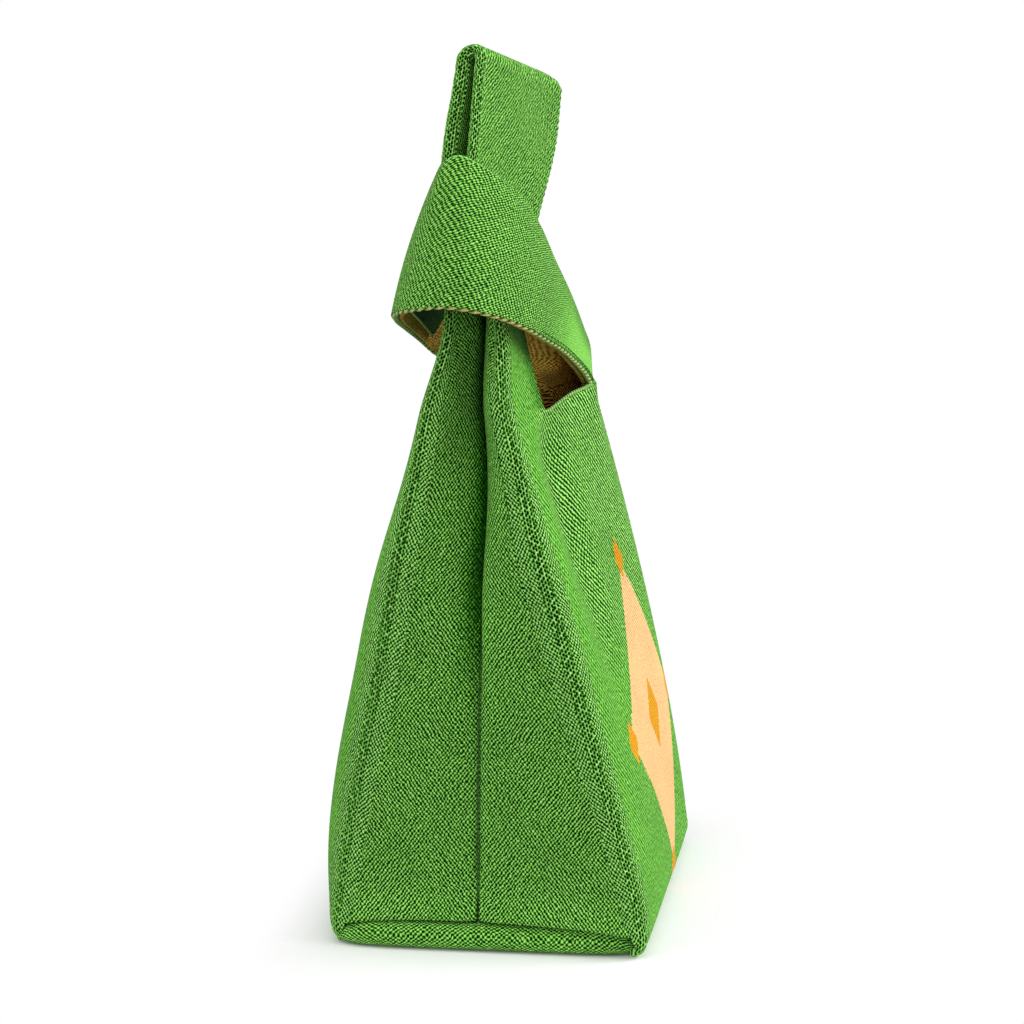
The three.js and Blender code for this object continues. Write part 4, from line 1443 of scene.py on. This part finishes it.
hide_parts("short_handle")
wrap_lining = cloth(
    "short_handle_lining_cloth",
    collar,
    LINING,
    KNOT_MIDDLE,
    gold_knit,
    stitches=collar_map,
    swell=-LINING_OFFSET,
)
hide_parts("short_handle_lining")
inside = (round_it > INNER_FROM) & (round_it < INNER_TO)
surface = collar[inside][:, INNER_COLUMNS]
inner_map = collar_map[inside][:, INNER_COLUMNS]
# The inner fold takes the groove's dark flat tone: painted shade.
inner_fold = cloth(
    "short_handle_inner_fold",
    surface,
    LINING,
    KNOT_MIDDLE,
    green_knit,
    stitches=inner_map,
    swell=-INNER_DEPTH,
    net=np.broadcast_to([FOLD_PAINTED_SHADE, FOLD_SHADE_SHARE], inner_map.shape),
)
inner_edge = bound(
    "short_handle_inner_fold_edge",
    surface[:, 0] - INNER_DEPTH * outward[inside],
    outward[inside],
    radius=0.4 * EDGE_RADIUS,
    pitch=0.6 * WHIP_PITCH,
    depth=0.3,
    material=whip_stitch,
    gold=0.8,
)
lower_whip = bound(
    "short_handle_lower_edge_whip",
    low + BEAD_RISE * rule,
    outward,
    radius=0.7 * EDGE_RADIUS,
    pitch=1.2 * WHIP_PITCH,
    depth=0.75,
    material=whip_stitch,
    gold=0.5 + 0.5 * smooth(0.27, 0.36, round_it) * (1 - smooth(0.5, 0.6, round_it)),
)
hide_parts("short_handle_lower_edge")
toothed = (round_it > TEETH_FROM) & (round_it < TEETH_TO)
teeth = bound(
    "short_handle_lower_edge_teeth",
    (low + TEETH_RISE * rule + KNIT / 2 * outward)[toothed],
    outward[toothed],
    radius=0.5 * EDGE_RADIUS,
    pitch=WHIP_PITCH,
    depth=0.95,
    material=dark_cord,
    gold=0.0,
)
rim_stitch = whip_material(
    "rim_stitch",
    crown=yarn(158, 226, 118),
    flank=yarn(92, 166, 52),
    gold=GREEN["crown"],
    flank_gold=GREEN["body"],
    gap_shade=yarn(50, 118, 26),
)
upper_roll = bound(
    "short_handle_upper_edge_roll",
    high,
    outward,
    radius=0.38 * COLLAR_WELT_RADIUS,
    pitch=1.6,
    depth=0.15,
    material=rim_stitch,
    gold=0.0,
)
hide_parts("short_handle_upper_edge")
for piece in (wrap, wrap_lining, inner_fold, inner_edge, lower_whip, teeth, upper_roll):
    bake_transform(piece)


# Right gusset's rise: its folded cloth runs on up between the two rims of the short handle, green
# outside and gold inside, and ends at the armhole in an overcast edge.
RISE_FRONT = 0.15
RISE_BACK = 0.075
RISE_FOLD = np.array([-14.0, 0.5, 21.0])
RISE_REACH = 0.86
RISE_START = -0.15
RISE_ROWS = 34
RISE_COLUMNS = 61
TIP_PART = 0.3
TIP_WIDTH = 0.45
TIP_DEPTH = 0.12


def rise(across, climb):
    """The rise's middle surface: from the front rim at -1 to the back rim at 1, round a blunt fold
    at 0. From the fold it widens fast sideways, slowly in depth. climb is 0 at the neckline, 1 on
    top."""
    fold = valley(RIGHT, NECK_HEIGHT) + climb[..., None] * RISE_FOLD
    front = rim(upper_knots, (RISE_FRONT * climb).ravel()).reshape(fold.shape)
    back = rim(upper_knots, (1 - RISE_BACK * climb).ravel()).reshape(fold.shape)
    away = np.where((across < 0)[..., None], front, back) - fold
    reach = np.abs(across)
    beyond = np.clip((reach - TIP_PART) / (1 - TIP_PART), 0, 1)
    round_tip = np.clip(reach / TIP_PART, 0, 1)
    blunt = TIP_WIDTH * (1 - (1 - round_tip) ** 2) + (1 - TIP_WIDTH) * beyond**2
    sideways = reach + (blunt - reach) * smooth(0, 0.4, climb)
    deep = TIP_DEPTH * round_tip**2 + (1 - TIP_DEPTH) * beyond
    inward = reach + (deep - reach) * smooth(0, 0.4, climb)
    return fold + away * np.stack([inward, sideways, inward], axis=-1)


across, climb = np.meshgrid(
    np.linspace(-RISE_REACH, RISE_REACH, RISE_COLUMNS), np.linspace(RISE_START, 1, RISE_ROWS)
)
surface = rise(across, climb)
rise_map = walked_map(surface)
outer_rise = cloth(
    "right_gusset_rise_cloth", surface, KNIT, BODY_MIDDLE, green_knit, stitches=rise_map
)
# The same gold reverse as gold_knit, coloured lighter: painted light inside the mouth's shade.
painted_lit_gold = knit_material(
    "painted_lit_gold",
    hole=yarn(120, 66, 4),
    shade=yarn(220, 150, 24),
    body=yarn(255, 208, 70),
    crown=yarn(255, 236, 130),
    size=0.8,
    lean=(0.46, 0.54),
)
inner_rise = cloth(
    "right_gusset_rise_lining",
    surface,
    LINING,
    BODY_MIDDLE,
    painted_lit_gold,
    stitches=rise_map,
    swell=-LINING_OFFSET,
)
armhole = bound(
    "right_armhole_edge_whip",
    surface[-1] + [0, 0, TRIM_CLEARANCE],
    np.array([0.0, 0.0, 1.0]),
    radius=EDGE_RADIUS,
    pitch=WHIP_PITCH,
    depth=0.35,
    material=whip_stitch,
    slant=1.4,
)
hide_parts("right_armhole_edge")
for piece in (outer_rise, inner_rise, armhole):
    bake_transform(piece)
